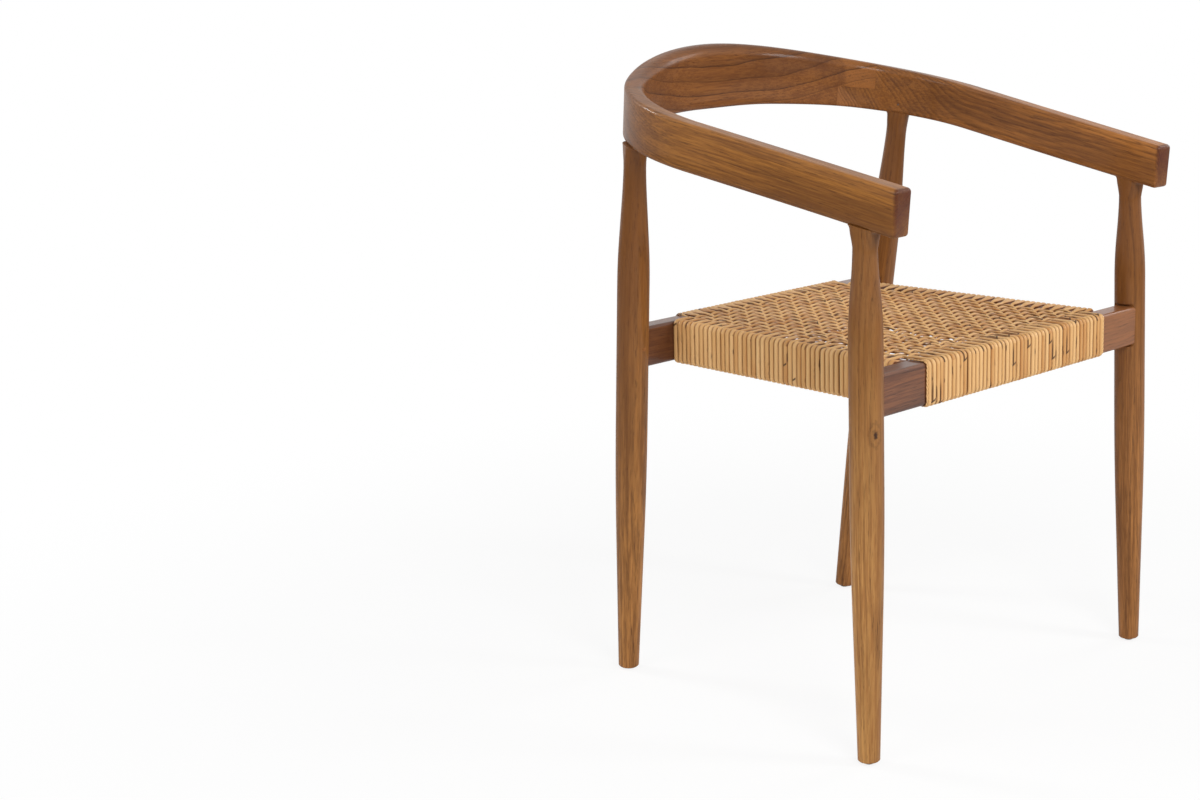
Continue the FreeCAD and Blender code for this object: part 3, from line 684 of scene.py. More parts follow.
# Finishes
@dataclass(frozen=True)
class Patch:
    """A part of a board whose wood differs, on one side of a line across it."""

    corner: Triple
    normal: Triple
    colour: Colour = paint(156, 100, 56)
    strength: float = 0.75
    soft: float = 0.0006
    reach: float = 9.0
    fade_out: float = 1.3

    def share(self, wiring: Wiring, spot: Signal) -> Signal:
        """Draw how much of the patch's wood there is.

        Args:
            wiring: The material's wiring.
            spot: The place on the chair.

        Returns:
            The share of the patch's wood.
        """
        away = wiring.vector("SUBTRACT", spot, self.corner)
        side = wiring.vector("DOT_PRODUCT", away, Vector(self.normal).normalized())
        near = wiring.vector("LENGTH", away).fade(self.reach, self.reach * self.fade_out)
        return side.spread(-self.soft, self.soft, 0.0, self.strength) * near


@dataclass(frozen=True)
class Knot:
    """A small dark knot where a twig grew, drawn out along the grain."""

    centre: Triple
    radius: float
    strength: float
    drawn_out: float = 0.45
    uneven: float = 0.9
    eye: Pair = (0.1, 0.6)
    ring_at: float = 0.95
    ring_width: float = 0.3
    ring_strength: float = 0.25
    ripple: Triple = (260.0, 260.0, 260.0)

    def share(self, wiring: Wiring, spot: Signal, board: Signal, grain: Vector) -> Signal:
        """Draw where the knot darkens the board.

        Args:
            wiring: The material's wiring.
            spot: The place on the chair.
            board: The place in the board.
            grain: The grain's direction.

        Returns:
            How dark the knot is: an eye, and a faint ring round it.
        """
        away = wiring.vector("SUBTRACT", spot, self.centre)
        along = wiring.vector("DOT_PRODUCT", away, grain) * self.drawn_out
        squash = wiring.read("ShaderNodeVectorMath", {0: grain, "Scale": along}, operation="SCALE")
        close = wiring.vector("LENGTH", wiring.vector("SUBTRACT", away, squash))
        close = close + (wiring.noise(board, self.ripple) - 0.5) * (self.radius * self.uneven)
        inner, outer = (self.radius * part for part in self.eye)
        eye = close.spread(inner, outer, self.strength, 0.0)
        ring = abs(close - self.radius * self.ring_at)
        faint = self.strength * self.ring_strength
        return eye | ring.spread(0.0, self.radius * self.ring_width, faint, 0.0)


@dataclass(frozen=True)
class Finish:
    """A material that is built from the shared shader groups."""

    name: str

    def material(self, groups: Groups) -> bpy.types.Material:
        """Build the material.

        Args:
            groups: The shared shader groups.

        Returns:
            The material.
        """
        made = bpy.data.materials.new(self.name)
        made.use_nodes = True
        self.wire(Wiring(made.node_tree), groups)
        return made

    def wire(self, wiring: Wiring, groups: Groups) -> None:
        """Wire the material's nodes, as each kind of finish does in its own way."""
        raise NotImplementedError


@dataclass(frozen=True)
class TeakFinish(Finish):
    """Oiled and lacquered teak, cut from one board."""

    grain: Vector
    face: Vector
    pith: Pair = (0.05, 0.02)
    light: Colour = paint(170, 108, 50)
    middle: Colour = paint(138, 83, 36)
    deep: Colour = paint(104, 60, 28)
    vein: Colour = paint(50, 28, 17)
    vein_strength: float = 0.6
    vein_cover: float = 0.5
    ring_strength: float = 0.22
    ring_spacing: float = 0.0035
    vein_spacing: float = 0.017
    pore_strength: float = 0.5
    pore_rough: float = 0.2
    tone_strength: float = 0.6
    patch_streaks: float = 0.35
    smudge: float = 0.07
    waviness: float = 0.02
    offset: float = 0.0
    roughness: float = 0.42
    gloss: float = 0.1
    coat: float = 0.26
    coat_roughness: float = 0.13
    bump: Pair = (0.5, 0.00012)
    patches: tuple[Patch, ...] = ()
    knots: tuple[Knot, ...] = ()

    def board_turn(self) -> Matrix:
        """Work out how the chair's axes turn into the board's.

        Returns:
            The rotation that takes the grain to X and the board's face to Z.
        """
        grain = self.grain.normalized()
        side = self.face.cross(grain).normalized()
        return Matrix((grain, side, grain.cross(side)))

    def wire(self, wiring: Wiring, groups: Groups) -> None:
        """Wire the board's colour, sheen and relief.

        Args:
            wiring: The material's wiring.
            groups: The shared shader groups.
        """
        spot = wiring.spot()
        turn, shift = self.board_turn().to_euler(), (self.offset, *self.pith)
        sockets = {"Vector": spot, "Rotation": turn, "Location": shift}
        board = wiring.read("ShaderNodeMapping", sockets, vector_type="POINT")
        figure = wiring.use(
            groups.teak,
            Position=board,
            Ring_Spacing=self.ring_spacing,
            Vein_Spacing=self.vein_spacing,
            Waviness=self.waviness,
            Vein_Cover=self.vein_cover,
        )
        wear = wiring.use(groups.handling, Position=spot)
        colour = wiring.mix(figure["Streaks"], self.middle, self.light)
        colour = wiring.mix(figure["Tone"] * self.tone_strength, colour, self.deep)
        for patch in self.patches:
            tint = wiring.mix(figure["Streaks"] * self.patch_streaks, patch.colour, self.deep)
            colour = wiring.mix(patch.share(wiring, spot), colour, tint)
        marks = (("Rings", self.ring_strength), ("Veins", self.vein_strength), ("Pores", self.pore_strength))
        for mark, strength in marks:
            colour = wiring.mix(figure[mark] * strength, colour, self.vein)
        for knot in self.knots:
            share = knot.share(wiring, spot, board, self.grain.normalized())
            colour = wiring.mix(share, colour, self.vein)
        wiring.surface(
            colour,
            wear["Smudges"] * self.smudge + self.roughness + figure["Pores"] * self.pore_rough,
            figure["Height"],
            self.bump,
            Coat_Weight=self.coat,
            Coat_Roughness=self.coat_roughness,
            Specular_IOR_Level=self.gloss,
        )


@dataclass(frozen=True)
class RattanFinish(Finish):
    """Split rattan with its shiny skin outwards."""

    light: Colour = paint(230, 187, 129)
    middle: Colour = paint(213, 165, 104)
    deep: Colour = paint(184, 125, 66)
    # colour at the strands' sides: partly darker split edges, partly painted shade between strands
    side: Colour = paint(138, 80, 34)
    # painted shade where strands lie low in the weave
    shadow: Colour = paint(92, 50, 20)
    stain: Colour = paint(58, 32, 16)
    roughness: float = 0.46
    fibre_rough: float = 0.12
    gloss: float = 0.3
    coat: float = 0.12
    coat_roughness: float = 0.25
    bump: Pair = (0.6, 0.00012)

    def wire(self, wiring: Wiring, groups: Groups) -> None:
        """Wire the strands' colour, sheen and relief, with painted shade where they lie low in the weave.

        Args:
            wiring: The material's wiring.
            groups: The shared shader groups.
        """
        skin = wiring.use(groups.rattan, Map=wiring.read("ShaderNodeUVMap", uv_map="UVMap"))
        lie = wiring.read("ShaderNodeAttribute", output="Fac", attribute_name="lie")
        colour = wiring.mix(skin["Tone"].spread(0.2, 0.8), self.middle, self.light)
        for share, tint in (
            (skin["Tone"].spread(0.2, 0.42, 0.6, 0.0), self.deep),
            (skin["Fibres"] * 0.25, self.deep),
            # painted shade: darker where the strand lies low in the weave
            (lie.spread(0.1, 0.8, 0.8, 0.0), self.shadow),
            # partly the split edges' colour, partly painted shade between strands
            (skin["Sides"] * 0.82, self.side),
            (skin["Stains"] * 0.75, self.stain),
            (skin["Joints"] * 0.9, self.stain),
        ):
            colour = wiring.mix(share, colour, tint)
        wiring.surface(
            colour,
            skin["Fibres"] * self.fibre_rough + self.roughness,
            skin["Height"],
            self.bump,
            Coat_Weight=self.coat,
            Coat_Roughness=self.coat_roughness,
            Specular_IOR_Level=self.gloss,
        )


@dataclass(frozen=True)
class HardwareFinish(Finish):
    """A small plain part: a foot glide's plastic or a pin's steel."""

    colour: Colour
    worn: Colour
    roughness: float
    metallic: float = 0.0
    scuffs: Triple = (900.0, 900.0, 250.0)
    scuff_rough: float = 0.15
    dust: float = 0.4

    def wire(self, wiring: Wiring, groups: Groups) -> None:
        """Wire the part's scuffs and dust.

        Args:
            wiring: The material's wiring.
            groups: The shared shader groups.
        """
        spot = wiring.spot()
        scuffs = wiring.noise(spot, self.scuffs)
        wear = wiring.use(groups.handling, Position=spot)
        colour = wiring.mix(scuffs.spread(0.5, 0.7), self.colour, self.worn)
        colour = wiring.mix(wear["Dust"] * self.dust, colour, self.worn)
        wiring.surface(colour, scuffs * self.scuff_rough + self.roughness, Metallic=self.metallic)


# The arms and crest
@dataclass(frozen=True)
class Station:
    """How a section of the arms and crest differs from the plain arm, as shares."""

    at: float
    deep: float
    thick: float
    lean: float
    lip: float
    scoop: float


STATIONS = (
    Station(0.000, 0.00, 1.00, 0.0, 0.00, 0.00),
    Station(0.200, 0.05, 0.55, -0.5, 0.00, 0.02),
    Station(0.417, 0.10, 0.15, 0.2, 0.10, 0.05),
    Station(0.512, 0.14, 0.00, 0.7, 0.25, 0.15),
    Station(0.607, 0.23, 0.00, 1.0, 0.45, 0.30),
    Station(0.703, 0.38, 0.00, 1.0, 0.70, 0.60),
    Station(0.850, 0.75, 0.00, 0.7, 1.00, 1.00),
    Station(1.000, 1.00, 0.00, 0.5, 1.00, 1.00),
)


def station_slope(index: int, name: str) -> float:
    """Work out how fast one of the stations' shares changes.

    Args:
        index: Which station.
        name: Which share.

    Returns:
        The slope of a smooth curve through the stations there.
    """
    if index + 1 == len(STATIONS):
        return 0.0
    before, after = STATIONS[max(index - 1, 0)], STATIONS[index + 1]
    return (getattr(after, name) - getattr(before, name)) / (after.at - before.at)


def station_share(at: float, name: str) -> float:
    """Read one of the stations' shares anywhere along the half rail.

    Args:
        at: Share of the half rail.
        name: Which share.

    Returns:
        The share, on a smooth curve through the stations.
    """
    row = max(index for index, station in enumerate(STATIONS[:-1]) if station.at <= at)
    low, high = STATIONS[row], STATIONS[row + 1]
    width = high.at - low.at
    part = (at - low.at) / width
    start, stop = getattr(low, name), getattr(high, name)
    leaving = (part - 2 * part**2 + part**3) * width * station_slope(row, name)
    arriving = (part**3 - part**2) * width * station_slope(row + 1, name)
    return start + (stop - start) * (3 * part**2 - 2 * part**3) + leaving + arriving


@dataclass
class ArmAndCrest:
    """The continuous carved rail that makes both arms and the curved back."""

    spread: float = 0.5488
    splay: float = math.radians(2.2)
    straight: float = 0.295
    corner_radius: float = 0.200
    crest_radius: float = 0.350
    front_height: float = 0.6469
    top_height: float = 0.761
    arm_depth: float = 0.0528
    crest_depth: float = 0.0805
    end_thickness: float = 0.028
    thickness: float = 0.0235
    lean: float = 0.003
    scoop: float = 0.0025
    least_scoop: float = 0.02
    edge_round: float = 0.0045
    lip_round: float = 0.013
    end_round: float = 0.004
    end_steps: int = 5
    corner_points: tuple[int, ...] = (6, 6, 6, 10)
    face_points: tuple[int, ...] = (4, 2, 8, 3)
    run_steps: tuple[int, ...] = (14, 26, 18)
    lap_length: float = 0.054
    lap_rise: float = 0.700
    seam: float = 0.502
    seam_ease: float = 0.0003
    saw_outset: float = 0.023
    saw_width: float = 0.4
    saw_spare: float = 0.02

    def __post_init__(self) -> None:
        """Work out the line that the rail follows."""
        self.start = Vector((self.spread / 2, 0, 0))
        self.bend = self.start + self.heading(self.splay) * self.straight
        self.corner_centre = self.bend - self.outward(self.splay) * self.corner_radius
        widening = self.crest_radius - self.corner_radius
        self.turned = -math.acos(self.corner_centre.x / widening)
        self.crest_centre = self.corner_centre - self.outward(self.turned) * widening
        self.corner_end = self.straight + self.corner_radius * (self.splay - self.turned)
        self.half = self.corner_end + self.crest_radius * (math.pi / 2 + self.turned)
        depth = self.crest_centre.y + self.crest_radius + self.lean * STATIONS[-1].lean
        for point in (self.start, self.bend, self.corner_centre, self.crest_centre):
            point.y -= depth / 2
        climb = self.corner_end + (self.half - self.corner_end) * 2 / 3
        self.slope = (self.top_height - self.front_height) / climb

    @staticmethod
    def heading(angle: float) -> Vector:
        """Return the direction of travel for an angle from +Y towards +X."""
        return Vector((math.sin(angle), math.cos(angle), 0))

    @staticmethod
    def outward(angle: float) -> Vector:
        """Return the outward normal of that direction."""
        return Vector((math.cos(angle), -math.sin(angle), 0))

    def frame(self, distance: float) -> tuple[Vector, Vector, Vector]:
        """Find where the rail's outer top edge is.

        Args:
            distance: How far along the rail, from the left arm's end.

        Returns:
            The point, the outward normal and the upward direction of the section there.
        """
        if distance > self.half:
            return tuple(mirrored(part) for part in self.frame(2 * self.half - distance))
        if distance <= self.straight:
            angle = self.splay
            point = self.start + self.heading(angle) * distance
        elif distance <= self.corner_end:
            angle = self.splay - (distance - self.straight) / self.corner_radius
            point = self.corner_centre + self.outward(angle) * self.corner_radius
        else:
            angle = self.turned - (distance - self.corner_end) / self.crest_radius
            point = self.crest_centre + self.outward(angle) * self.crest_radius
        height, slope = self.top(distance)
        tilt = math.atan(slope) / 2
        up = UP * math.cos(tilt) - self.heading(angle) * math.sin(tilt)
        return Vector((point.x, point.y, height)), self.outward(angle), up

    def top(self, distance: float) -> Pair:
        """Find how the rail's top edge rises: straight along an arm, then levelling out to the middle.

        Args:
            distance: How far along the rail.

        Returns:
            The height and the slope of the edge.
        """
        first = min(distance, self.corner_end)
        span = self.half - self.corner_end
        part = (distance - first) / span
        rise = self.slope * first + self.slope * span * (part - part**3 / 3)
        return self.front_height + rise, self.slope * (1 - part**2)

    def sizes(self, distance: float) -> tuple[float, float, float, float, float]:
        """Work out the section's sizes.

        Args:
            distance: How far along the rail.

        Returns:
            Depth, thickness, lean, lip radius and scoop.
        """
        at = max(0.0, min(distance, 2 * self.half - distance) / self.half)
        return (
            lerp(self.arm_depth, self.crest_depth, station_share(at, "deep")),
            lerp(self.thickness, self.end_thickness, station_share(at, "thick")),
            self.lean * station_share(at, "lean"),
            lerp(self.edge_round, self.lip_round, station_share(at, "lip")),
            self.scoop * max(station_share(at, "scoop"), self.least_scoop),
        )

    def inset(self, distance: float) -> float:
        """Return how far an arm's rounded end draws the section in."""
        left = max(self.end_round - min(distance, 2 * self.half - distance), 0.0)
        return self.end_round - math.sqrt(max(self.end_round**2 - left**2, 0))

    @staticmethod
    def arc(before: Vector, corner: Vector, after: Vector, radius: float, count: int) -> list[Vector]:
        """Round one corner of a flat outline.

        Args:
            before: The corner before it.
            corner: The corner.
            after: The corner after it.
            radius: Radius of the round.
            count: How many points to put on it.

        Returns:
            The points, from the side of the corner before to that of the corner after.
        """
        first = (before - corner).normalized()
        second = (after - corner).normalized()
        half = first.angle(second) / 2
        centre = corner + (first + second).normalized() * (radius / math.sin(half))
        start = corner + first * (radius / math.tan(half)) - centre
        stop = corner + second * (radius / math.tan(half)) - centre
        turn = start.angle(stop)
        whole = math.sin(turn)
        parts = [turn * index / (count - 1) for index in range(count)]
        return [
            centre + start * (math.sin(turn - part) / whole) + stop * (math.sin(part) / whole)
            for part in parts
        ]

    def section(self, distance: float) -> list[Vector]:
        """Work out the rail's section, from the outer top edge downwards and round.

        Args:
            distance: How far along the rail.

        Returns:
            The section's points in place.
        """
        origin, outward, up = self.frame(distance)
        depth, thickness, lean, lip, scoop = self.sizes(distance)
        inset = self.inset(distance)
        flat = [
            Vector((-inset, -inset)),
            Vector((lean - inset, inset - depth)),
            Vector((lean + inset - thickness, inset - depth)),
            Vector((inset - thickness, -inset)),
        ]
        edge = self.edge_round - inset
        rounds = zip((edge, edge, edge, lip - inset), self.corner_points)
        arcs = [
            self.arc(flat[index - 1], flat[index], flat[(index + 1) % 4], radius, count)
            for index, (radius, count) in enumerate(rounds)
        ]
        points: list[Vector] = []
        for index, (arc, following) in enumerate(zip(arcs, arcs[1:] + arcs[:1])):
            points += arc
            for part in steps_to(0, 1, self.face_points[index] + 1)[:-1]:
                hollow = scoop * 4 * part * (1 - part) if index == 2 else 0
                points.append(arc[-1].lerp(following[0], part) + Vector((hollow, 0)))
        return [origin + outward * point.x + up * point.y for point in points]

    def distances(self) -> list[float]:
        """List where the sections stand, from one arm's end to the other.

        Returns:
            The distances along the rail.
        """
        turns = [math.pi / 2 * step / self.end_steps for step in range(self.end_steps + 1)]
        found = [self.end_round * (1 - math.cos(turn)) for turn in turns]
        knees = (self.end_round, self.straight, self.corner_end, self.half)
        for start, stop, count in zip(knees, knees[1:], self.run_steps):
            found += steps_to(start, stop, count)
        return found + [2 * self.half - at for at in reversed(found[:-1])]

    def region(self, name: str, distance: float, reach: float, low: float, high: float, hand: Hand) -> Piece:
        """Make the block of space on an arm's side of a seam.

        Args:
            name: The block's name.
            distance: Where the seam is.
            reach: How far the block runs from it.
            low: The height that it starts at.
            high: The height that it ends at.
            hand: Which arm it is for.

        Returns:
            The block.
        """
        point, outward, up = self.frame(distance)
        corner = point + up * ((low - point.z) / up.z) + outward * self.saw_outset
        parts = [corner, -outward, outward.cross(up), up]
        if hand is Hand.RIGHT:
            parts = [mirrored(part) for part in parts]
        return Bench.block(name, parts[0], parts[1:], (self.saw_width, reach, high - low))

    def arm_space(self, hand: Hand) -> Piece:
        """Make the space that one arm fills, with its finger below the step of the lap.

        Args:
            hand: Which arm.

        Returns:
            The space as a solid.
        """
        high, low = self.top_height + self.saw_spare, self.lap_rise - self.crest_depth
        main = self.region("arm_space", self.seam - self.lap_length, self.half, 0, high, hand)
        finger = self.region("finger_space", self.seam, 2 * self.lap_length, low, self.lap_rise, hand)
        Bench.combine(main, finger, "UNION")
        bpy.data.objects.remove(finger)
        return main

    def build(self, groups: Groups) -> None:
        """Carve the rail, saw it into crest and arms, and finish each.

        Args:
            groups: The shared shader groups.
        """
        whole = Bench.tube("whole_rail", [self.section(distance) for distance in self.distances()])
        crest = Bench.copy(whole, "carved_crest")
        for hand in Hand:
            space = self.arm_space(hand)
            arm = Bench.copy(whole, f"carved_arm_{hand.word}")
            Bench.combine(arm, space, "INTERSECT")
            Bench.combine(crest, space, "DIFFERENCE")
            bpy.data.objects.remove(space)
            self.dress(arm, self.arm_finish(hand), groups, f"arm_{hand.word}")
        bpy.data.objects.remove(whole)
        self.dress(crest, self.crest_finish(), groups, "crest_rail")

    def dress(self, piece: Piece, finish: TeakFinish, groups: Groups, node: str) -> None:
        """Ease a piece's seams, smooth it and give it its board."""
        Bench.finish(piece, self.seam_ease, sharp=62, shaded=42)
        place(piece, finish.material(groups), "arm_wood", node)

    def arm_finish(self, hand: Hand) -> TeakFinish:
        """Choose the board of an arm: its end grain is dark, and so is its wood near the lap.

        Args:
            hand: Which arm.

        Returns:
            The board.
        """
        side, left = hand.value, hand is Hand.LEFT
        end_grain = Patch((0, self.start.y + 0.0045, 0), (0, -1, 0), paint(82, 38, 25), 0.92, 0.0025)
        left_shade = Patch((0, 0.05, 0), (0, 1, 0), paint(104, 64, 32), 0.55, 0.11)
        right_shade = Patch((0, 0.09, 0), (0, 1, 0), paint(104, 61, 30), 0.65, 0.08)
        triangle = Patch((0.1835, 0.175, 0.700), (-1, 0, -0.8), paint(160, 104, 58), reach=0.07)
        return TeakFinish(
            name=f"teak_arm_{hand.word}",
            grain=Vector((side * math.sin(self.splay), math.cos(self.splay), self.slope * 1.02)),
            face=Vector((side, 0, 0)),
            pith=(-0.42, 0.30) if left else (-0.62, 0.44),
            offset=0.4 * side,
            light=paint(186, 120, 56) if left else paint(170, 112, 50),
            middle=paint(141, 87, 40) if left else paint(134, 84, 38),
            deep=paint(98, 58, 26),
            vein_cover=0.46,
            vein_strength=0.55,
            ring_strength=0.36 if left else 0.3,
            patches=(end_grain, left_shade, triangle) if left else (end_grain, right_shade),
        )

    def crest_finish(self) -> TeakFinish:
        """Choose the board of the crest, with lighter wood in its two laps.

        Returns:
            The board.
        """
        return TeakFinish(
            name="teak_crest",
            grain=Vector((1, 0, 0)),
            face=Vector((0, -1, 0)),
            pith=(-0.25, 0.025),
            light=paint(140, 88, 43),
            middle=paint(118, 71, 35),
            deep=paint(88, 51, 27),
            vein=paint(38, 19, 12),
            vein_strength=0.95,
            vein_cover=0.76,
            ring_strength=0.13,
            ring_spacing=0.0042,
            vein_spacing=0.0165,
            waviness=0.03,
            coat=0.2,
            patches=(
                Patch((-0.183, 0, 0.700), (-0.024, 0, -0.086)),
                Patch((0.187, 0, 0.72), (1, 0, 0.1), paint(166, 106, 52), 0.65, 0.003),
            ),
        )


# Legs
@dataclass(frozen=True)
class Stance:
    """How a pair of legs stands, and how its necks are turned."""

    spread: float
    setback: float
    reach: float
    offset: float
    neck: float
    neck_length: float
    neck_taper: float


@dataclass
class TurnedLeg:
    """One turned leg: a slim foot, a swelling at the seat and a neck that grows into the arm."""

    end: End
    hand: Hand
    stance: Stance
    foot: Vector
    top: Vector
    outward: Vector
    forward: Vector
    diameter: float = 0.0386
    foot_diameter: float = 0.0254
    foot_taper: float = 0.250
    foot_blend: float = 0.07
    foot_chamfer: float = 0.0015
    blend: float = 0.026
    squared_length: float = 0.024
    squared_power: float = 4.2
    levelled_length: float = 0.045
    flare: float = 0.0011
    cove_length: float = 0.0045
    cove_depth: float = 0.0026
    overlap: float = 0.0012
    side_flare: float = 0.0001
    run_on: float = 0.01
    edge_ease: float = 0.0004
    run_steps: tuple[int, ...] = (16, 16, 18)
    neck_steps: int = 8
    cove_steps: int = 5
    flat_depth: float = 0.0063
    flat_low: float = 0.3932
    flat_high: float = 0.4433
    flat_runout: float = 0.002
    cutter_reach: float = 0.03
    cutter_width: float = 0.06
    around: int = 40

    def __post_init__(self) -> None:
        """Work out the leg's axis and its neck's place."""
        self.axis = (self.top - self.foot).normalized()
        self.length = (self.top - self.foot).length
        self.neck = self.length - self.stance.neck_length

    def knees(self) -> list[Triple]:
        """List the outline's knees.

        Returns:
            For each, the distance up the leg, the radius and half the length of the blend.
        """
        body, neck = self.diameter / 2, self.stance.neck / 2
        return [
            (0.0, self.foot_diameter / 2, 0.0),
            (self.foot_taper, body, self.foot_blend),
            (self.neck - self.stance.neck_taper, body, self.blend),
            (self.neck, neck, self.blend),
            (self.length + self.run_on, neck, 0.0),
        ]

    def radius(self, distance: float) -> float:
        """Work out the turned radius: straight between the knees and curved over each of them.

        Args:
            distance: How far up the leg.

        Returns:
            The radius.
        """
        knees = self.knees()
        for before, knee, after in zip(knees, knees[1:], knees[2:]):
            part = distance - (knee[0] - knee[2])
            if 0 <= part <= 2 * knee[2]:
                fall = (knee[1] - before[1]) / (knee[0] - before[0])
                rise = (after[1] - knee[1]) / (after[0] - knee[0])
                return knee[1] - fall * knee[2] + fall * part + (rise - fall) * part**2 / (4 * knee[2])
        for low, high in zip(knees, knees[1:]):
            if distance <= high[0]:
                return lerp(low[1], high[1], (distance - low[0]) / (high[0] - low[0]))
        return knees[-1][1]

    def row(self, distance: float) -> list[Vector]:
        """Work out one ring of the leg.

        Args:
            distance: How far up the leg.

        Returns:
            Its points in place: round below, and squared and levelled to the arm at the top.
        """
        left = self.length - distance
        square = ease(1 - left / self.squared_length)
        level = ease(1 - left / self.levelled_length)
        cove = max(0.0, 1 - max(left, 0.0) / self.cove_length)
        flare = self.flare * square + self.cove_depth * (1 - math.sqrt(1 - cove**2))
        power = lerp(2.0, self.squared_power, square)
        side, front = (
            self.axis.cross(way).cross(self.axis).normalized() for way in (self.outward, self.forward)
        )
        centre = self.foot + self.axis * distance
        radius = self.radius(distance) - max(self.foot_chamfer - distance, 0.0)
        points = []
        for index in range(self.around):
            turn = math.tau * index / self.around
            across, along = math.cos(turn), math.sin(turn)
            reach = (abs(across) ** power + abs(along) ** power) ** (-1 / power)
            wide = (radius + self.side_flare * square) * reach * across
            deep = (radius + flare) * reach * along
            flat_way = side * wide + front * deep
            seated_way = self.outward * wide + self.forward * deep
            points.append(centre + flat_way.lerp(seated_way, level))
        return points

    def distances(self) -> list[float]:
        """List where the rings stand, closer where the outline turns.

        Returns:
            The distances up the leg.
        """
        found = [0.0, self.foot_chamfer / 3, self.foot_chamfer]
        shoulder = self.neck - self.stance.neck_taper - self.blend
        knees = (self.foot_chamfer, self.foot_taper, shoulder, self.neck + self.blend)
        for start, stop, count in zip(knees, knees[1:], self.run_steps):
            found += steps_to(start, stop, count)
        squared = self.length - self.squared_length
        if squared > found[-1]:
            found.append(squared)
        found += steps_to(found[-1], self.length - self.cove_length, self.neck_steps)
        turns = steps_to(0, math.pi / 2, self.cove_steps)
        found += [self.length - self.cove_length * (1 - math.sin(turn)) for turn in turns]
        return found + [self.length + self.overlap]

    def build(self, finish: TeakFinish, groups: Groups) -> None:
        """Turn the leg, cut the flat that its rail seats on, and finish it.

        Args:
            finish: The leg's board.
            groups: The shared shader groups.
        """
        name = f"turned_leg_{self.end.value}_{self.hand.word}"
        leg = Bench.tube(name, [self.row(distance) for distance in self.distances()])
        cutter = self.flat_cutter()
        Bench.combine(leg, cutter, "DIFFERENCE")
        bpy.data.objects.remove(cutter)
        Bench.finish(leg, self.edge_ease, sharp=30, shaded=35)
        place(leg, finish.material(groups), "leg_wood", f"{self.end.value}_leg_{self.hand.word}")

    def flat_cutter(self) -> Piece:
        """Make the cutter for the rail's flat: a block with rounded ends on the leg's inner side.

        Returns:
            The cutter.
        """
        inward = -self.hand.value
        Bench.clear()
        bpy.ops.mesh.primitive_cube_add(size=1)
        block = Bench.named("flat_cutter")
        height = self.flat_high - self.flat_low + 2 * self.flat_runout
        block.scale = (self.cutter_reach, self.cutter_width, height)
        Bench.settle(block)
        weights = block.data.attributes.new("bevel_weight_edge", "FLOAT", "EDGE")
        for edge, weight in zip(block.data.edges, weights.data):
            first, second = (block.data.vertices[index].co for index in edge.vertices)
            cutting = max(first.x * inward, second.x * inward) < 0
            level = abs(first.y - second.y) > abs(first.z - second.z)
            weight.value = float(cutting and level)
        Bench.modify(block, "BEVEL", width=self.flat_runout, segments=4, limit_method="WEIGHT")
        half_way = ((self.flat_low + self.flat_high) / 2 - self.foot.z) / self.axis.z
        outset = self.diameter / 2 - self.flat_depth + self.cutter_reach / 2
        centre = self.foot + self.axis * half_way + Vector((inward * outset, 0, 0))
        lean = UP.rotation_difference(self.axis).to_matrix().to_4x4()
        block.matrix_world = Matrix.Translation(centre) @ lean
        Bench.settle(block)
        return block


@dataclass
class LegSet:
    """The four legs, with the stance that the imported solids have."""

    rail: ArmAndCrest
    front: Stance = Stance(0.540, 0.0076, 0.047, 0.0017, 0.0272, 0.0354, 0.064)
    back: Stance = Stance(0.426, 0.439, 0.412, 0.0022, 0.0262, 0.0357, 0.106)
    glide_height: float = 0.003
    overhang: float = 0.0335
    piths: tuple[Pair, ...] = ((0.31, 0.24), (0.27, -0.20), (-0.30, 0.16), (0.22, 0.33))
    lights: tuple[Colour, ...] = (
        paint(178, 120, 64),
        paint(214, 158, 90),
        paint(172, 116, 62),
        paint(186, 128, 68),
    )
    middles: tuple[Colour, ...] = (
        paint(132, 85, 42),
        paint(176, 122, 66),
        paint(128, 83, 42),
        paint(136, 90, 46),
    )
    # each leg is darker towards the top
    upper_darkening: Patch = Patch((0, 0, 0.36), (0, 0, 1), paint(116, 70, 30), 0.85, 0.2)
    twig: Knot = Knot((-0.2729, -0.2355, 0.3789), 0.0075, 0.95)

    def under(self, distance: float) -> Vector:
        """Find the middle of the arm's underside.

        Args:
            distance: How far along the arm.

        Returns:
            The point.
        """
        point, outward, up = self.rail.frame(distance)
        depth, thickness, lean, _, _ = self.rail.sizes(distance)
        return point + outward * (lean - thickness / 2) - up * depth

    def leg(self, end: End, hand: Hand) -> TurnedLeg:
        """Work out one leg's stance.

        Args:
            end: Front or back.
            hand: Left or right.

        Returns:
            The leg, ready to be built.
        """
        stance = self.front if end is End.FRONT else self.back
        reach, half_neck = stance.reach, stance.neck / 2
        outward = self.rail.frame(reach)[1]
        foot_y = self.rail.start.y + self.overhang + stance.setback
        foot = Vector((stance.spread / 2, foot_y, self.glide_height))
        forward = (self.under(reach + half_neck) - self.under(reach - half_neck)).normalized()
        parts = [foot, self.under(reach) + outward * stance.offset, outward, forward]
        if hand is Hand.RIGHT:
            parts = [mirrored(part) for part in parts]
        return TurnedLeg(end, hand, stance, *parts)

    def finish(self, number: int, leg: TurnedLeg) -> TeakFinish:
        """Choose a leg's board: each darkens upwards, and the near one has a knot.

        Args:
            number: The leg's number.
            leg: The leg.

        Returns:
            The board.
        """
        return TeakFinish(
            name=f"teak_leg_{leg.end.value}_{leg.hand.word}",
            grain=leg.axis,
            face=Vector((0.3, 1, 0)),
            pith=self.piths[number],
            offset=0.7 * number,
            light=self.lights[number],
            middle=self.middles[number],
            deep=paint(110, 66, 30),
            vein_strength=0.34,
            vein_cover=0.45,
            waviness=0.014,
            ring_spacing=0.0048,
            patches=(self.upper_darkening,),
            knots=(self.twig,) if number == 1 else (),
        )

    def build(self, groups: Groups) -> None:
        """Turn and finish all four legs.

        Args:
            groups: The shared shader groups.
        """
        legs = [self.leg(end, hand) for end in End for hand in Hand]
        for number, leg in enumerate(legs):
            leg.build(self.finish(number, leg), groups)


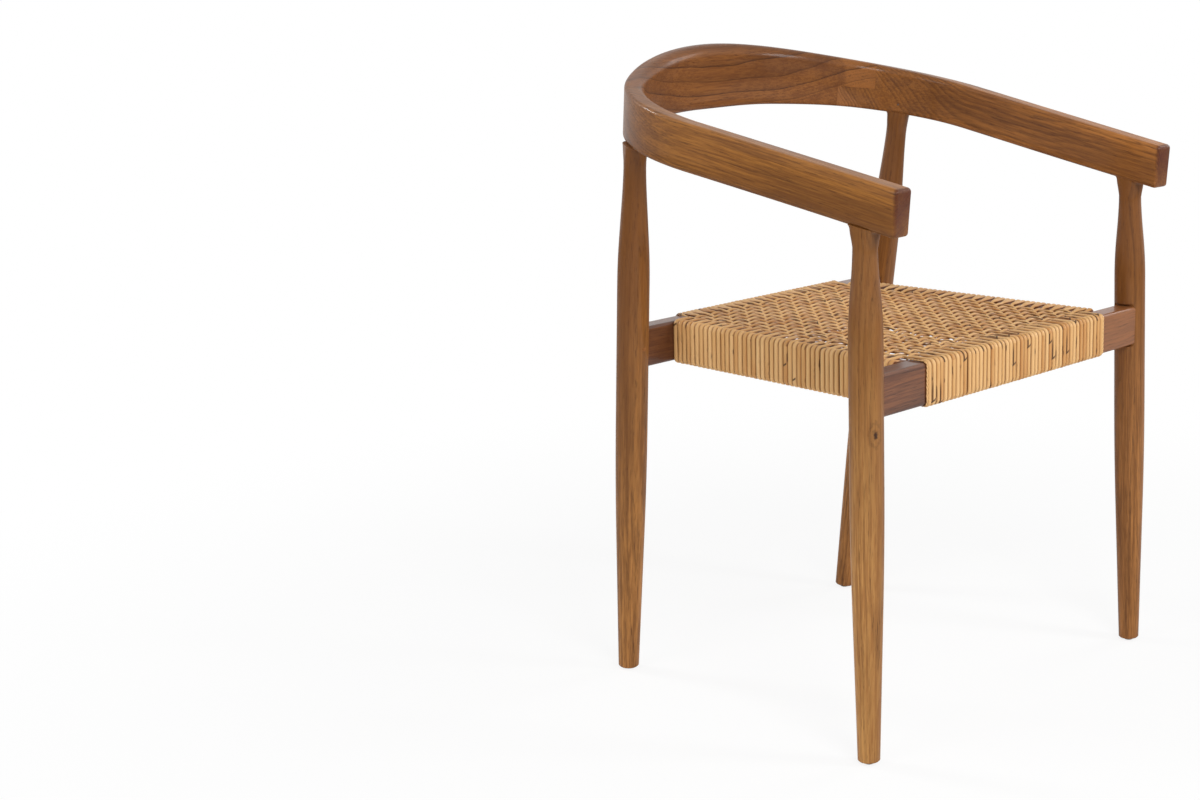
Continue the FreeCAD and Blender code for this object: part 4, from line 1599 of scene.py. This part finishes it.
# Rails, pegs, pins and glides
@dataclass
class FrameTimbers:
    """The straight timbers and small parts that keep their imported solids."""

    side_turn: float = math.atan2(0.0235, 0.3553)
    pale_end: Patch = Patch((0.15, 0, 0), (1, 0, 0), paint(158, 98, 50), 0.7, 0.05)

    @staticmethod
    def dress(node: str, material: bpy.types.Material, slot: str) -> None:
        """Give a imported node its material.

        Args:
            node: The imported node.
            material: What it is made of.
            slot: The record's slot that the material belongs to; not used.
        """
        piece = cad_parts[node]
        piece.data.materials.clear()
        piece.data.materials.append(material)
        LOG.info("%s dressed with %s", node, material.name)

    def rail_finish(self, name: str, grain: Vector, face: Vector, number: int) -> TeakFinish:
        """Choose a rail's board, darker than the legs; the front one is pale at its left end.

        Args:
            name: The board's name.
            grain: The grain's direction.
            face: The way that the rail's outer face looks.
            number: The rail's number.

        Returns:
            The board.
        """
        return TeakFinish(
            name=name,
            grain=grain,
            face=face,
            pith=(0.12 + 0.05 * number, 0.21 - 0.07 * number),
            offset=0.5 * number,
            light=paint(129, 77, 42),
            middle=paint(93, 51, 27),
            deep=paint(72, 40, 22),
            vein=paint(38, 20, 14),
            vein_strength=0.55,
            ring_spacing=0.0038,
            gloss=0.25,
            coat=0.45,
            patches=(self.pale_end,) if number == 0 else (),
        )

    def build(self, groups: Groups) -> None:
        """Dress the rails, pegs, pins and glides.

        Args:
            groups: The shared shader groups.
        """
        aslant, back = math.sin(self.side_turn), math.cos(self.side_turn)
        boards = (
            ("front_rail", Vector((1, 0, 0.02)), Vector((0, -1, 0))),
            ("back_rail", Vector((1, 0, -0.015)), Vector((0, 1, 0))),
            ("side_rail_left", Vector((-aslant, back, 0)), Vector((1, 0, 0))),
            ("side_rail_right", Vector((aslant, back, 0)), Vector((-1, 0, 0))),
        )
        for number, (node, grain, face) in enumerate(boards):
            finish = self.rail_finish(f"teak_{node}", grain, face, number)
            self.dress(node, finish.material(groups), "rail_wood")
        peg = TeakFinish("teak_pegs", Vector((0, 1, 0)), UP, light=paint(150, 98, 56), ring_spacing=0.002)
        glide = HardwareFinish("glide_plastic", paint(196, 193, 186), paint(160, 155, 146), 0.4)
        steel = HardwareFinish("pin_steel", paint(92, 84, 78), paint(56, 46, 40), 0.45, metallic=0.9)
        peg_wood, glide_plastic, pin_steel = (part.material(groups) for part in (peg, glide, steel))
        for hand in Hand:
            self.dress(f"peg_{hand.word}", peg_wood, "peg_wood")
            for end in End:
                self.dress(f"glide_{end.value}_{hand.word}", glide_plastic, "glide_plastic")
        self.dress("tenon_pins", pin_steel, "pin_steel")


# Woven seat
@dataclass(frozen=True)
class Strand:
    """One length of split rattan.

    The path is drawn as if the strand ran from front to back: pairs of the way along and the height.
    A drift shifts it sideways in the loose part of the weave, between the two ends of its inside.
    """

    path: tuple[Pair, ...]
    at: float
    closed: bool
    swell: float
    aside: tuple[float, ...] = ()
    inside: Pair = (0.0, 0.0)
    drift: float = 0.0


@dataclass(frozen=True)
class RailSection:
    """A rail as a strand meets it: its near and far faces and its lower and upper edges."""

    near: float
    far: float
    low: float
    high: float
    round: float = 0.004

    def loop(self, gap: float, steps: int = 4) -> list[Pair]:
        """Walk round the rail at a distance from its faces.

        Args:
            gap: How far off the faces to walk.
            steps: How many steps round each corner.

        Returns:
            Points from the near face's lower corner up, over the top, down the far face and back under.
        """
        radius = self.round + gap
        near, far = self.near + self.round, self.far - self.round
        low, high = self.low + self.round, self.high - self.round
        points: list[Pair] = []
        for corner, (x, z) in enumerate(((near, high), (far, high), (far, low), (near, low))):
            for step in range(steps + 1):
                turn = math.pi - math.pi / 2 * (corner + step / steps)
                points.append((x + radius * math.cos(turn), z + radius * math.sin(turn)))
        return points


@dataclass(frozen=True)
class Binding:
    """Two thin strands that are twisted together round the end of a winding."""

    lift: float = 0.0013
    step: float = 0.0016
    twist_length: float = 0.0095
    out: float = 0.0005
    aside: float = 0.0007
    swell: float = 0.3
    corner_steps: int = 8

    def strands(self, section: RailSection, at: float) -> list[Strand]:
        """Twist the strands round a rail.

        Args:
            section: The rail.
            at: Where along it.

        Returns:
            The two strands.
        """
        loop = section.loop(self.lift, self.corner_steps)
        points: list[Pair] = []
        for first, second in zip(loop, loop[1:] + loop[:1]):
            count = max(1, round(math.dist(first, second) / self.step))
            for part in [step / count for step in range(count)]:
                points.append((lerp(first[0], second[0], part), lerp(first[1], second[1], part)))
        walked = distances_along(points + points[:1])
        twists = round(walked[-1] / self.twist_length)
        middle = Vector(((section.near + section.far) / 2, (section.low + section.high) / 2))
        made = []
        for start in (0.0, math.pi):
            path, aside = [], []
            for point, distance in zip(points, walked):
                turn = start + math.tau * twists * distance / walked[-1]
                out = (Vector(point) - middle).normalized() * self.out * math.sin(turn)
                path.append((point[0] + out.x, point[1] + out.y))
                aside.append(self.aside * math.cos(turn))
            made.append(Strand(tuple(path), at, True, self.swell, tuple(aside)))
        return made


@dataclass
class WovenSeat:
    """Rattan strands wound round the four rails and woven through each other between them."""

    width: float = 0.0068
    height: float = 0.0029
    front: RailSection = RailSection(-0.2320, -0.2040, 0.394, 0.4425)
    back: RailSection = RailSection(0.1513, 0.1773, 0.394, 0.4425)
    side_front_x: float = 0.1895
    side_back_x: float = 0.1660
    side_half: float = 0.01203
    front_half: float = 0.1775
    back_half: float = 0.1540
    strands_across: int = 48
    strands_deep: int = 48
    unevenness: Pair = (0.00016, 0.00014)
    clearance: float = 0.0001
    field_height: float = 0.4422
    wave: float = 0.00115
    wave_power: float = 0.75
    field_swell: float = 0.8
    face_shares: Pair = (0.35, 0.65)
    settling: float = 0.006
    dive: float = 0.0034
    push_length: float = 0.02
    open_columns: tuple[Pair, ...] = ((-0.100, 0.0009), (-0.071, 0.0009), (0.022, 0.0009), (0.158, 0.0009))
    open_rows: tuple[Pair, ...] = ((-0.1195, 0.0009), (-0.0945, 0.0009), (0.115, 0.0009))
    loose_columns: tuple[Pair, ...] = ((-0.156, 0.0064), (-0.0625, 0.0060))
    loose_rows: tuple[Pair, ...] = (
        (-0.203, 0.0038),
        (-0.175, 0.0062),
        (-0.145, 0.0038),
        (-0.0885, 0.0058),
        (-0.042, 0.0058),
    )
    loose_until: float = -0.025
    loose_start: float = 0.012
    loose_end: float = 0.03
    loose_lead: float = 0.4
    entry: float = 0.3
    entry_lift: float = 0.97
    wound_slack: float = 0.00012
    wound_swells: Pair = (0.94, 1.04)
    woven_swells: Pair = (0.95, 1.05)
    least_crossings: int = 3
    warp_spare: float = 0.003
    fill_spare: float = 0.002
    beyond_depth: float = 0.026
    short_clear: float = 0.004
    short_end: tuple[Pair, ...] = ((-0.001, -0.001), (0.0, -0.004), (0.0005, -0.012))
    binding_gap: float = 0.0006
    phase_span: float = 6.28
    start_span: float = 3.0
    wobble: float = 0.00022
    wobble_pace: float = 60.0
    pulse: float = 0.03
    pulse_pace: float = 0.7
    lie_span: float = 2.2
    map_margin: float = 0.01
    crease: float = 50.0
    samples: int = 5
    seed: int = 11
    outline: tuple[Pair, ...] = (
        (-0.84, -0.5), (0.84, -0.5), (0.99, -0.3), (0.88, 0.04), (0.6, 0.33),
        (0.22, 0.48), (-0.22, 0.48), (-0.6, 0.33), (-0.88, 0.04), (-0.99, -0.3),
    )

    def __post_init__(self) -> None:
        """Set out where the strands lie."""
        self.luck = random.Random(self.seed)
        self.pitch_across = 2 * self.front_half / self.strands_across
        self.pitch_deep = (self.back.near - self.front.far) / self.strands_deep
        uneven_across, uneven_deep = self.unevenness
        columns = [
            -self.front_half + self.pitch_across * (index + 0.5) + self.luck.gauss(0, uneven_across)
            for index in range(self.strands_across)
        ]
        rows = [
            self.front.far + self.pitch_deep * (index + 0.5) + self.luck.gauss(0, uneven_deep)
            for index in range(self.strands_deep)
        ]
        self.columns = [self.parted(at, self.open_columns) for at in columns]
        self.rows = [self.parted(at, self.open_rows) for at in rows]
        self.lift = self.height / 2 + self.clearance
        self.count = 0

    def parted(self, at: float, gaps: Sequence[Pair]) -> float:
        """Push a strand away from the places where the winding lies open.

        Args:
            at: Where the strand would lie.
            gaps: Where each gap is, and how wide.

        Returns:
            Where it lies.
        """
        return at + sum(
            math.copysign(width / 2, at - gap) * math.exp(-abs(at - gap) / self.push_length)
            for gap, width in gaps
        )

    def side_x(self, y: float) -> float:
        """Return how far out the left side rail's centre line is at a distance back."""
        share = (y - self.front.far) / (self.back.near - self.front.far)
        return lerp(self.side_front_x, self.side_back_x, share)

    def side_section(self, y: float, hand: Hand) -> RailSection:
        """Return a side rail as a strand that runs across the seat meets it."""
        centre = self.side_x(y) * hand.value
        return RailSection(centre - self.side_half, centre + self.side_half, self.front.low, self.front.high)

    def wave_height(self, along: float, crossings: Sequence[float], first_over: bool) -> float:
        """Work out a strand's height where it goes over and under the strands that it crosses.

        Args:
            along: Where on the strand.
            crossings: Where the strands that it crosses lie, in order.
            first_over: Whether it goes over the first of them.

        Returns:
            The height of its middle.
        """
        spacing = self.pitch_deep * 2
        knots = [crossings[0] - spacing, *crossings, crossings[-1] + spacing]
        after = next((index for index, at in enumerate(crossings) if at > along), len(crossings))
        low, high = knots[after], knots[after + 1]
        swing = math.cos(math.pi * (after - 1 + (along - low) / (high - low)))
        shaped = math.copysign(abs(swing) ** self.wave_power, swing)
        return self.field_height + self.wave * shaped * (1 if first_over else -1)

    def woven_path(
        self, near: RailSection, far: RailSection, crossings: Sequence[float], over: bool
    ) -> list[Pair]:
        """Walk a strand round one rail, through the weave and round the rail beyond.

        Args:
            near: The rail that it starts on.
            far: The rail that it ends on.
            crossings: Where the strands that it crosses lie.
            over: Whether it goes over the first.

        Returns:
            The path's points.
        """
        lift = self.lift
        round_near, round_far = near.loop(lift), far.loop(lift)
        path = round_near[10:20]
        path += [(near.near - lift, lerp(near.low, near.high, share)) for share in self.face_shares]
        path += round_near[:6]
        first, last = near.far - near.round * self.entry, far.near + far.round * self.entry
        path.append((first, near.high + lift * self.entry_lift))
        steps = max(2, round((last - first) / self.pitch_deep / 2 * self.samples))
        for along in steps_to(first, last, steps)[:-1]:
            settled = ease(min(along - near.far, far.near - along) / self.settling)
            height = lerp(near.high + lift, self.wave_height(along, crossings, over), settled)
            path.append((along, height))
        path.append((last, far.high + lift * self.entry_lift))
        path += round_far[4:10]
        path += [(far.far + lift, lerp(far.high, far.low, share)) for share in self.face_shares]
        return path + round_far[10:20]

    def fill(self, section: RailSection, at: float) -> Strand:
        """Make a strand that only goes round its rail, and sinks where the weave begins.

        Args:
            section: The rail.
            at: Where along it.

        Returns:
            The strand.
        """
        path = section.loop(self.height / 2 + abs(self.luck.gauss(0, self.wound_slack)))
        inner_is_far = abs(section.far) < abs(section.near)
        for index in range(5, 10) if inner_is_far else range(5):
            along, high = path[index]
            path[index] = (along + (-self.dive if inner_is_far else self.dive), high - self.dive)
        for index in (20, 15, 10, 5):
            before, after = path[index - 1], path[index % len(path)]
            path.insert(index, ((before[0] + after[0]) / 2, (before[1] + after[1]) / 2))
        return Strand(tuple(path), at, True, self.luck.uniform(*self.wound_swells))

    def weave(self, path: list[Pair], at: float, inside: Pair, drift: float) -> Strand:
        """Make a strand that runs through the weave, a little thicker or thinner than the next."""
        swell = self.luck.uniform(*self.woven_swells)
        return Strand(tuple(path), at, False, swell, inside=inside, drift=drift)

    def warps(self) -> list[Strand]:
        """Set out the strands that run from the front rail to the back rail.

        Returns:
            The strands.
        """
        made = []
        for index in range(1, self.strands_across, 2):
            x = self.columns[index]
            over = (index // 2) % 2 == 0
            crossings = [y for y in self.rows[1::2] if abs(x) < self.side_x(y) - self.side_half]
            if len(crossings) < self.least_crossings:
                continue
            if abs(x) < self.back_half - self.warp_spare:
                path = self.woven_path(self.front, self.back, crossings, over)
            else:
                path = self.short_path(crossings, over)
            drift = self.parted(x, self.loose_columns) - x
            made.append(self.weave(path, x, (self.front.far, self.back.near), drift))
        return made

    def short_path(self, crossings: Sequence[float], over: bool) -> list[Pair]:
        """Walk an outer warp that dives down beside the side rail where the rail cuts across it.

        Args:
            crossings: Where the strands that it crosses lie.
            over: Whether it goes over the first.

        Returns:
            The path's points.
        """
        stop = crossings[-1] + self.pitch_deep
        beyond = RailSection(stop, stop + self.beyond_depth, self.front.low, self.front.high)
        path = self.woven_path(self.front, beyond, crossings, over)
        kept = [point for point in path if point[0] < stop - self.short_clear]
        return kept + [(stop + along, self.field_height + high) for along, high in self.short_end]

    def wefts(self) -> list[Strand]:
        """Set out the strands that run across, from one side rail to the other.

        Returns:
            The strands.
        """
        made = []
        for index in range(1, self.strands_deep, 2):
            y = self.rows[index]
            near, far = self.side_section(y, Hand.RIGHT), self.side_section(y, Hand.LEFT)
            columns = [x for x in self.columns[1::2] if near.far < x < far.near]
            first = self.columns[1::2].index(columns[0])
            path = self.woven_path(near, far, columns, (first + index // 2) % 2 == 1)
            drift = y - self.parted(y, self.loose_rows)
            made.append(self.weave(path, -y, (near.far, far.near), drift))
        return made

    def profile(self) -> Piece:
        """Draw the strand's section on its side: flat on one side, domed on the other.

        Returns:
            The closed flat curve.
        """
        Bench.clear()
        bpy.ops.curve.primitive_nurbs_circle_add()
        drawn = Bench.named("strand_section")
        drawn.data.splines.clear()
        drawn.data.dimensions = "2D"
        spline = drawn.data.splines.new("POLY")
        spline.points.add(len(self.outline) - 1)
        for point, (across, high) in zip(spline.points, self.outline):
            point.co = (-high * self.height, across * self.width / 2, 0, 1)
        spline.use_cyclic_u = True
        return drawn

    def sway(self, strand: Strand, along: float) -> float:
        """Return how far a strand drifts sideways in the loose part of the weave."""
        into = (along - strand.inside[0]) / self.loose_start + self.loose_lead
        return strand.drift * ease((self.loose_until - along) / self.loose_end) * ease(into)

    def lay(self, strand: Strand, profile: Piece, turned: bool) -> Piece:
        """Draw one strand along its path on the flat, so that it can't twist, and turn it into place.

        Args:
            strand: The strand.
            profile: Its section.
            turned: Whether it runs across the seat.

        Returns:
            The strand as a mesh, with its own map and with how high it lies in the weave.
        """
        Bench.clear()
        bpy.ops.curve.primitive_nurbs_path_add()
        laid = Bench.named("strand")
        data = laid.data
        data.splines.clear()
        data.dimensions = "3D"
        data.bevel_mode = "OBJECT"
        data.bevel_object = profile
        data.use_fill_caps = not strand.closed
        data.twist_mode = "Z_UP"
        spline = data.splines.new("POLY")
        spline.points.add(len(strand.path) - 1)
        phase = self.luck.uniform(0, self.phase_span)
        aside = strand.aside or (0.0,) * len(strand.path)
        for index, (point, (along, high)) in enumerate(zip(spline.points, strand.path)):
            shift = self.wobble * math.sin(phase + along * self.wobble_pace) + aside[index]
            shift += self.sway(strand, along)
            point.co = (along, high, strand.at + shift, 1)
            point.radius = strand.swell * (1 + self.pulse * math.sin(phase * 3 + index * self.pulse_pace))
            if strand.inside[0] < along < strand.inside[1]:
                point.radius *= self.field_swell
        spline.use_cyclic_u = strand.closed
        walked = distances_along(strand.path + strand.path[:1] if strand.closed else strand.path)
        Bench.take(laid)
        bpy.ops.object.convert(target="MESH")
        laid = bpy.context.active_object
        # How high each point lies; the rattan material paints shade where it lies low
        lie = laid.data.attributes.new("lie", "FLOAT", "POINT")
        for vertex, shade in zip(laid.data.vertices, lie.data):
            along, high, at = vertex.co
            woven = strand.inside[0] < along < strand.inside[1]
            risen = (high - self.field_height + self.wave) / (self.lie_span * self.wave)
            shade.value = ease(risen) if woven else 1.0
            vertex.co = (along, -at, high) if turned else (at, along, high)
        start = self.luck.uniform(0, self.start_span)
        last = len(walked) - 1
        for loop in laid.data.uv_layers[0].data:
            around = min(max(loop.uv.y, 0.0), 1.0) * (1 - 2 * self.map_margin) + self.map_margin
            index = min(max(round(loop.uv.x * last), 0), last)
            loop.uv = (self.count + around, start + walked[index])
        self.count += 1
        return laid

    def family(
        self,
        name: str,
        strands: Sequence[Strand],
        look: tuple[Piece, bpy.types.Material],
        turned: bool,
        *nodes: str,
    ) -> None:
        """Lay a family of strands and join it into one piece.

        Args:
            name: The piece's name.
            strands: Its strands.
            look: Their section and what they are made of.
            turned: Whether they run across the seat.
            nodes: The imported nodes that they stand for.
        """
        profile, rattan = look
        Bench.take(*[self.lay(strand, profile, turned) for strand in strands])
        bpy.ops.object.join()
        piece = Bench.named(name)
        Bench.smooth(piece, self.crease)
        place(piece, rattan, "rattan", *nodes)

    def build(self, groups: Groups) -> None:
        """Wind the rails and weave the seat.

        Args:
            groups: The shared shader groups.
        """
        look = (self.profile(), RattanFinish("rattan_strands").material(groups))
        front = [self.fill(self.front, x) for x in self.columns[0::2]]
        for side in (-1, 1):
            front += Binding().strands(self.front, side * (self.front_half + self.binding_gap))
        last = [x for x in self.columns[0::2] if abs(x) < self.back_half - self.fill_spare]
        back = [self.fill(self.back, x) for x in last]
        self.family("woven_warps", self.warps(), look, False, "seat_deck")
        self.family("woven_wefts", self.wefts(), look, True)
        self.family("wound_front", front, look, False, "front_wrap")
        self.family("wound_back", back, look, False, "back_wrap")
        for hand in Hand:
            sides = [self.fill(self.side_section(y, hand), -y) for y in self.rows[0::2]]
            self.family(f"wound_side_{hand.word}", sides, look, True, f"side_wrap_{hand.word}")
        bpy.data.objects.remove(look[0])


# Studio
@dataclass(frozen=True)
class Lamp:
    """A soft lamp that points at the middle of the chair."""

    name: str
    spot: Triple
    width: float
    height: float
    watts: float

    def hang(self, target: Vector) -> None:
        """Hang the lamp.

        Args:
            target: What it points at.
        """
        Bench.clear()
        bpy.ops.object.light_add(type="AREA", location=self.spot)
        lamp = Bench.named(self.name)
        lamp.data.shape = "RECTANGLE"
        lamp.data.size = self.width
        lamp.data.size_y = self.height
        lamp.data.energy = self.watts
        lamp.rotation_euler = (target - Vector(self.spot)).to_track_quat("-Z", "Y").to_euler()


@dataclass
class Studio:
    """A pale floor, a white surround, soft lamps and the camera."""

    floor_size: float = 9.0
    floor_grey: Colour = (0.93, 0.93, 0.93, 1.0)
    floor_white: float = 0.86
    shadow_fades: Pair = (0.45, 1.5)
    world_light: float = 0.24
    target: Triple = (0.0, 0.0, 0.45)
    lamps: tuple[Lamp, ...] = (
        Lamp("key_lamp", (-1.3, -2.1, 2.0), 1.0, 1.0, 38),
        Lamp("left_lamp", (-2.6, 0.1, 1.5), 1.3, 1.3, 14),
        Lamp("strip_lamp", (0.95, -2.35, 1.7), 0.6, 1.2, 28),
        Lamp("right_lamp", (2.4, -0.6, 1.5), 0.9, 0.9, 12),
        Lamp("rear_lamp", (-0.8, 2.1, 2.0), 0.6, 0.6, 21),
    )
    camera_at: Triple = (-2.10638, -1.69729, 0.95962)
    camera_angles: Triple = (-51.936, 11.955, 0.1745)
    lens: float = 67.1975
    sensor: float = 36.0
    lens_shift: Pair = (-0.24567, -0.03424)

    def floor(self) -> None:
        """Lay the floor, which shows white to the camera but for the chair's shadow."""
        Bench.clear()
        bpy.ops.mesh.primitive_plane_add(size=self.floor_size)
        floor = Bench.named("studio_floor")
        made = bpy.data.materials.new("studio_floor_white")
        made.use_nodes = True
        wiring = Wiring(made.node_tree)
        fade = wiring.vector("LENGTH", wiring.spot()).spread(*self.shadow_fades, self.floor_white, 1.0)
        share = wiring.read("ShaderNodeLightPath", output="Is Camera Ray") * fade
        matt = wiring.read("ShaderNodeBsdfDiffuse", {"Color": self.floor_grey})
        glow = wiring.read("ShaderNodeEmission", {"Color": WHITE})
        both = wiring.read("ShaderNodeMixShader", {0: share, 1: matt, 2: glow})
        wiring.node("ShaderNodeOutputMaterial", {"Surface": both})
        floor.data.materials.append(made)

    def surround(self) -> None:
        """Light the chair evenly from all round, with white behind it."""
        world = bpy.data.worlds.new("studio_surround")
        bpy.context.scene.world = world
        world.use_nodes = True
        wiring = Wiring(world.node_tree)
        rays = wiring.node("ShaderNodeLightPath").outputs
        names = ("Is Camera Ray", "Is Transmission Ray", "Is Glossy Ray")
        camera, through, glossy = (Signal(wiring, rays[name]) for name in names)
        soft = wiring.read("ShaderNodeBackground", {"Color": WHITE, "Strength": self.world_light})
        white = wiring.read("ShaderNodeBackground", {"Color": WHITE})
        both = wiring.read("ShaderNodeMixShader", {0: camera | through | glossy, 1: soft, 2: white})
        wiring.node("ShaderNodeOutputWorld", {"Surface": both})

    def camera(self) -> None:
        """Set the camera where the photograph was taken from."""
        azimuth, height, roll = (math.radians(angle) for angle in self.camera_angles)
        right = Vector((math.cos(azimuth), math.sin(azimuth), 0))
        back = UP.cross(right) * -math.cos(height) + UP * math.sin(height)
        up = back.cross(right)
        turned_right = right * math.cos(roll) + up * math.sin(roll)
        turned_up = up * math.cos(roll) - right * math.sin(roll)
        turn = Matrix((turned_right, turned_up, back)).transposed().to_4x4()
        Bench.clear()
        bpy.ops.object.camera_add()
        camera = Bench.named("studio_camera")
        camera.matrix_world = Matrix.Translation(self.camera_at) @ turn
        camera.data.sensor_width = self.sensor
        camera.data.lens = self.lens
        camera.data.shift_x, camera.data.shift_y = self.lens_shift
        bpy.context.scene.camera = camera

    def build(self) -> None:
        """Set up the whole studio."""
        self.floor()
        self.surround()
        for lamp in self.lamps:
            lamp.hang(Vector(self.target))
        self.camera()
        bpy.context.scene.view_settings.view_transform = "Standard"
        LOG.info("studio is set")


def main() -> None:
    """Build the chair's pieces in order, then the studio."""
    logging.basicConfig(level=logging.INFO, format="%(name)s: %(message)s")
    groups = Groups()
    rail = ArmAndCrest()
    rail.build(groups)
    LegSet(rail).build(groups)
    FrameTimbers().build(groups)
    WovenSeat().build(groups)
    Studio().build()
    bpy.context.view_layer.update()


if __name__ == "__main__":
    main()
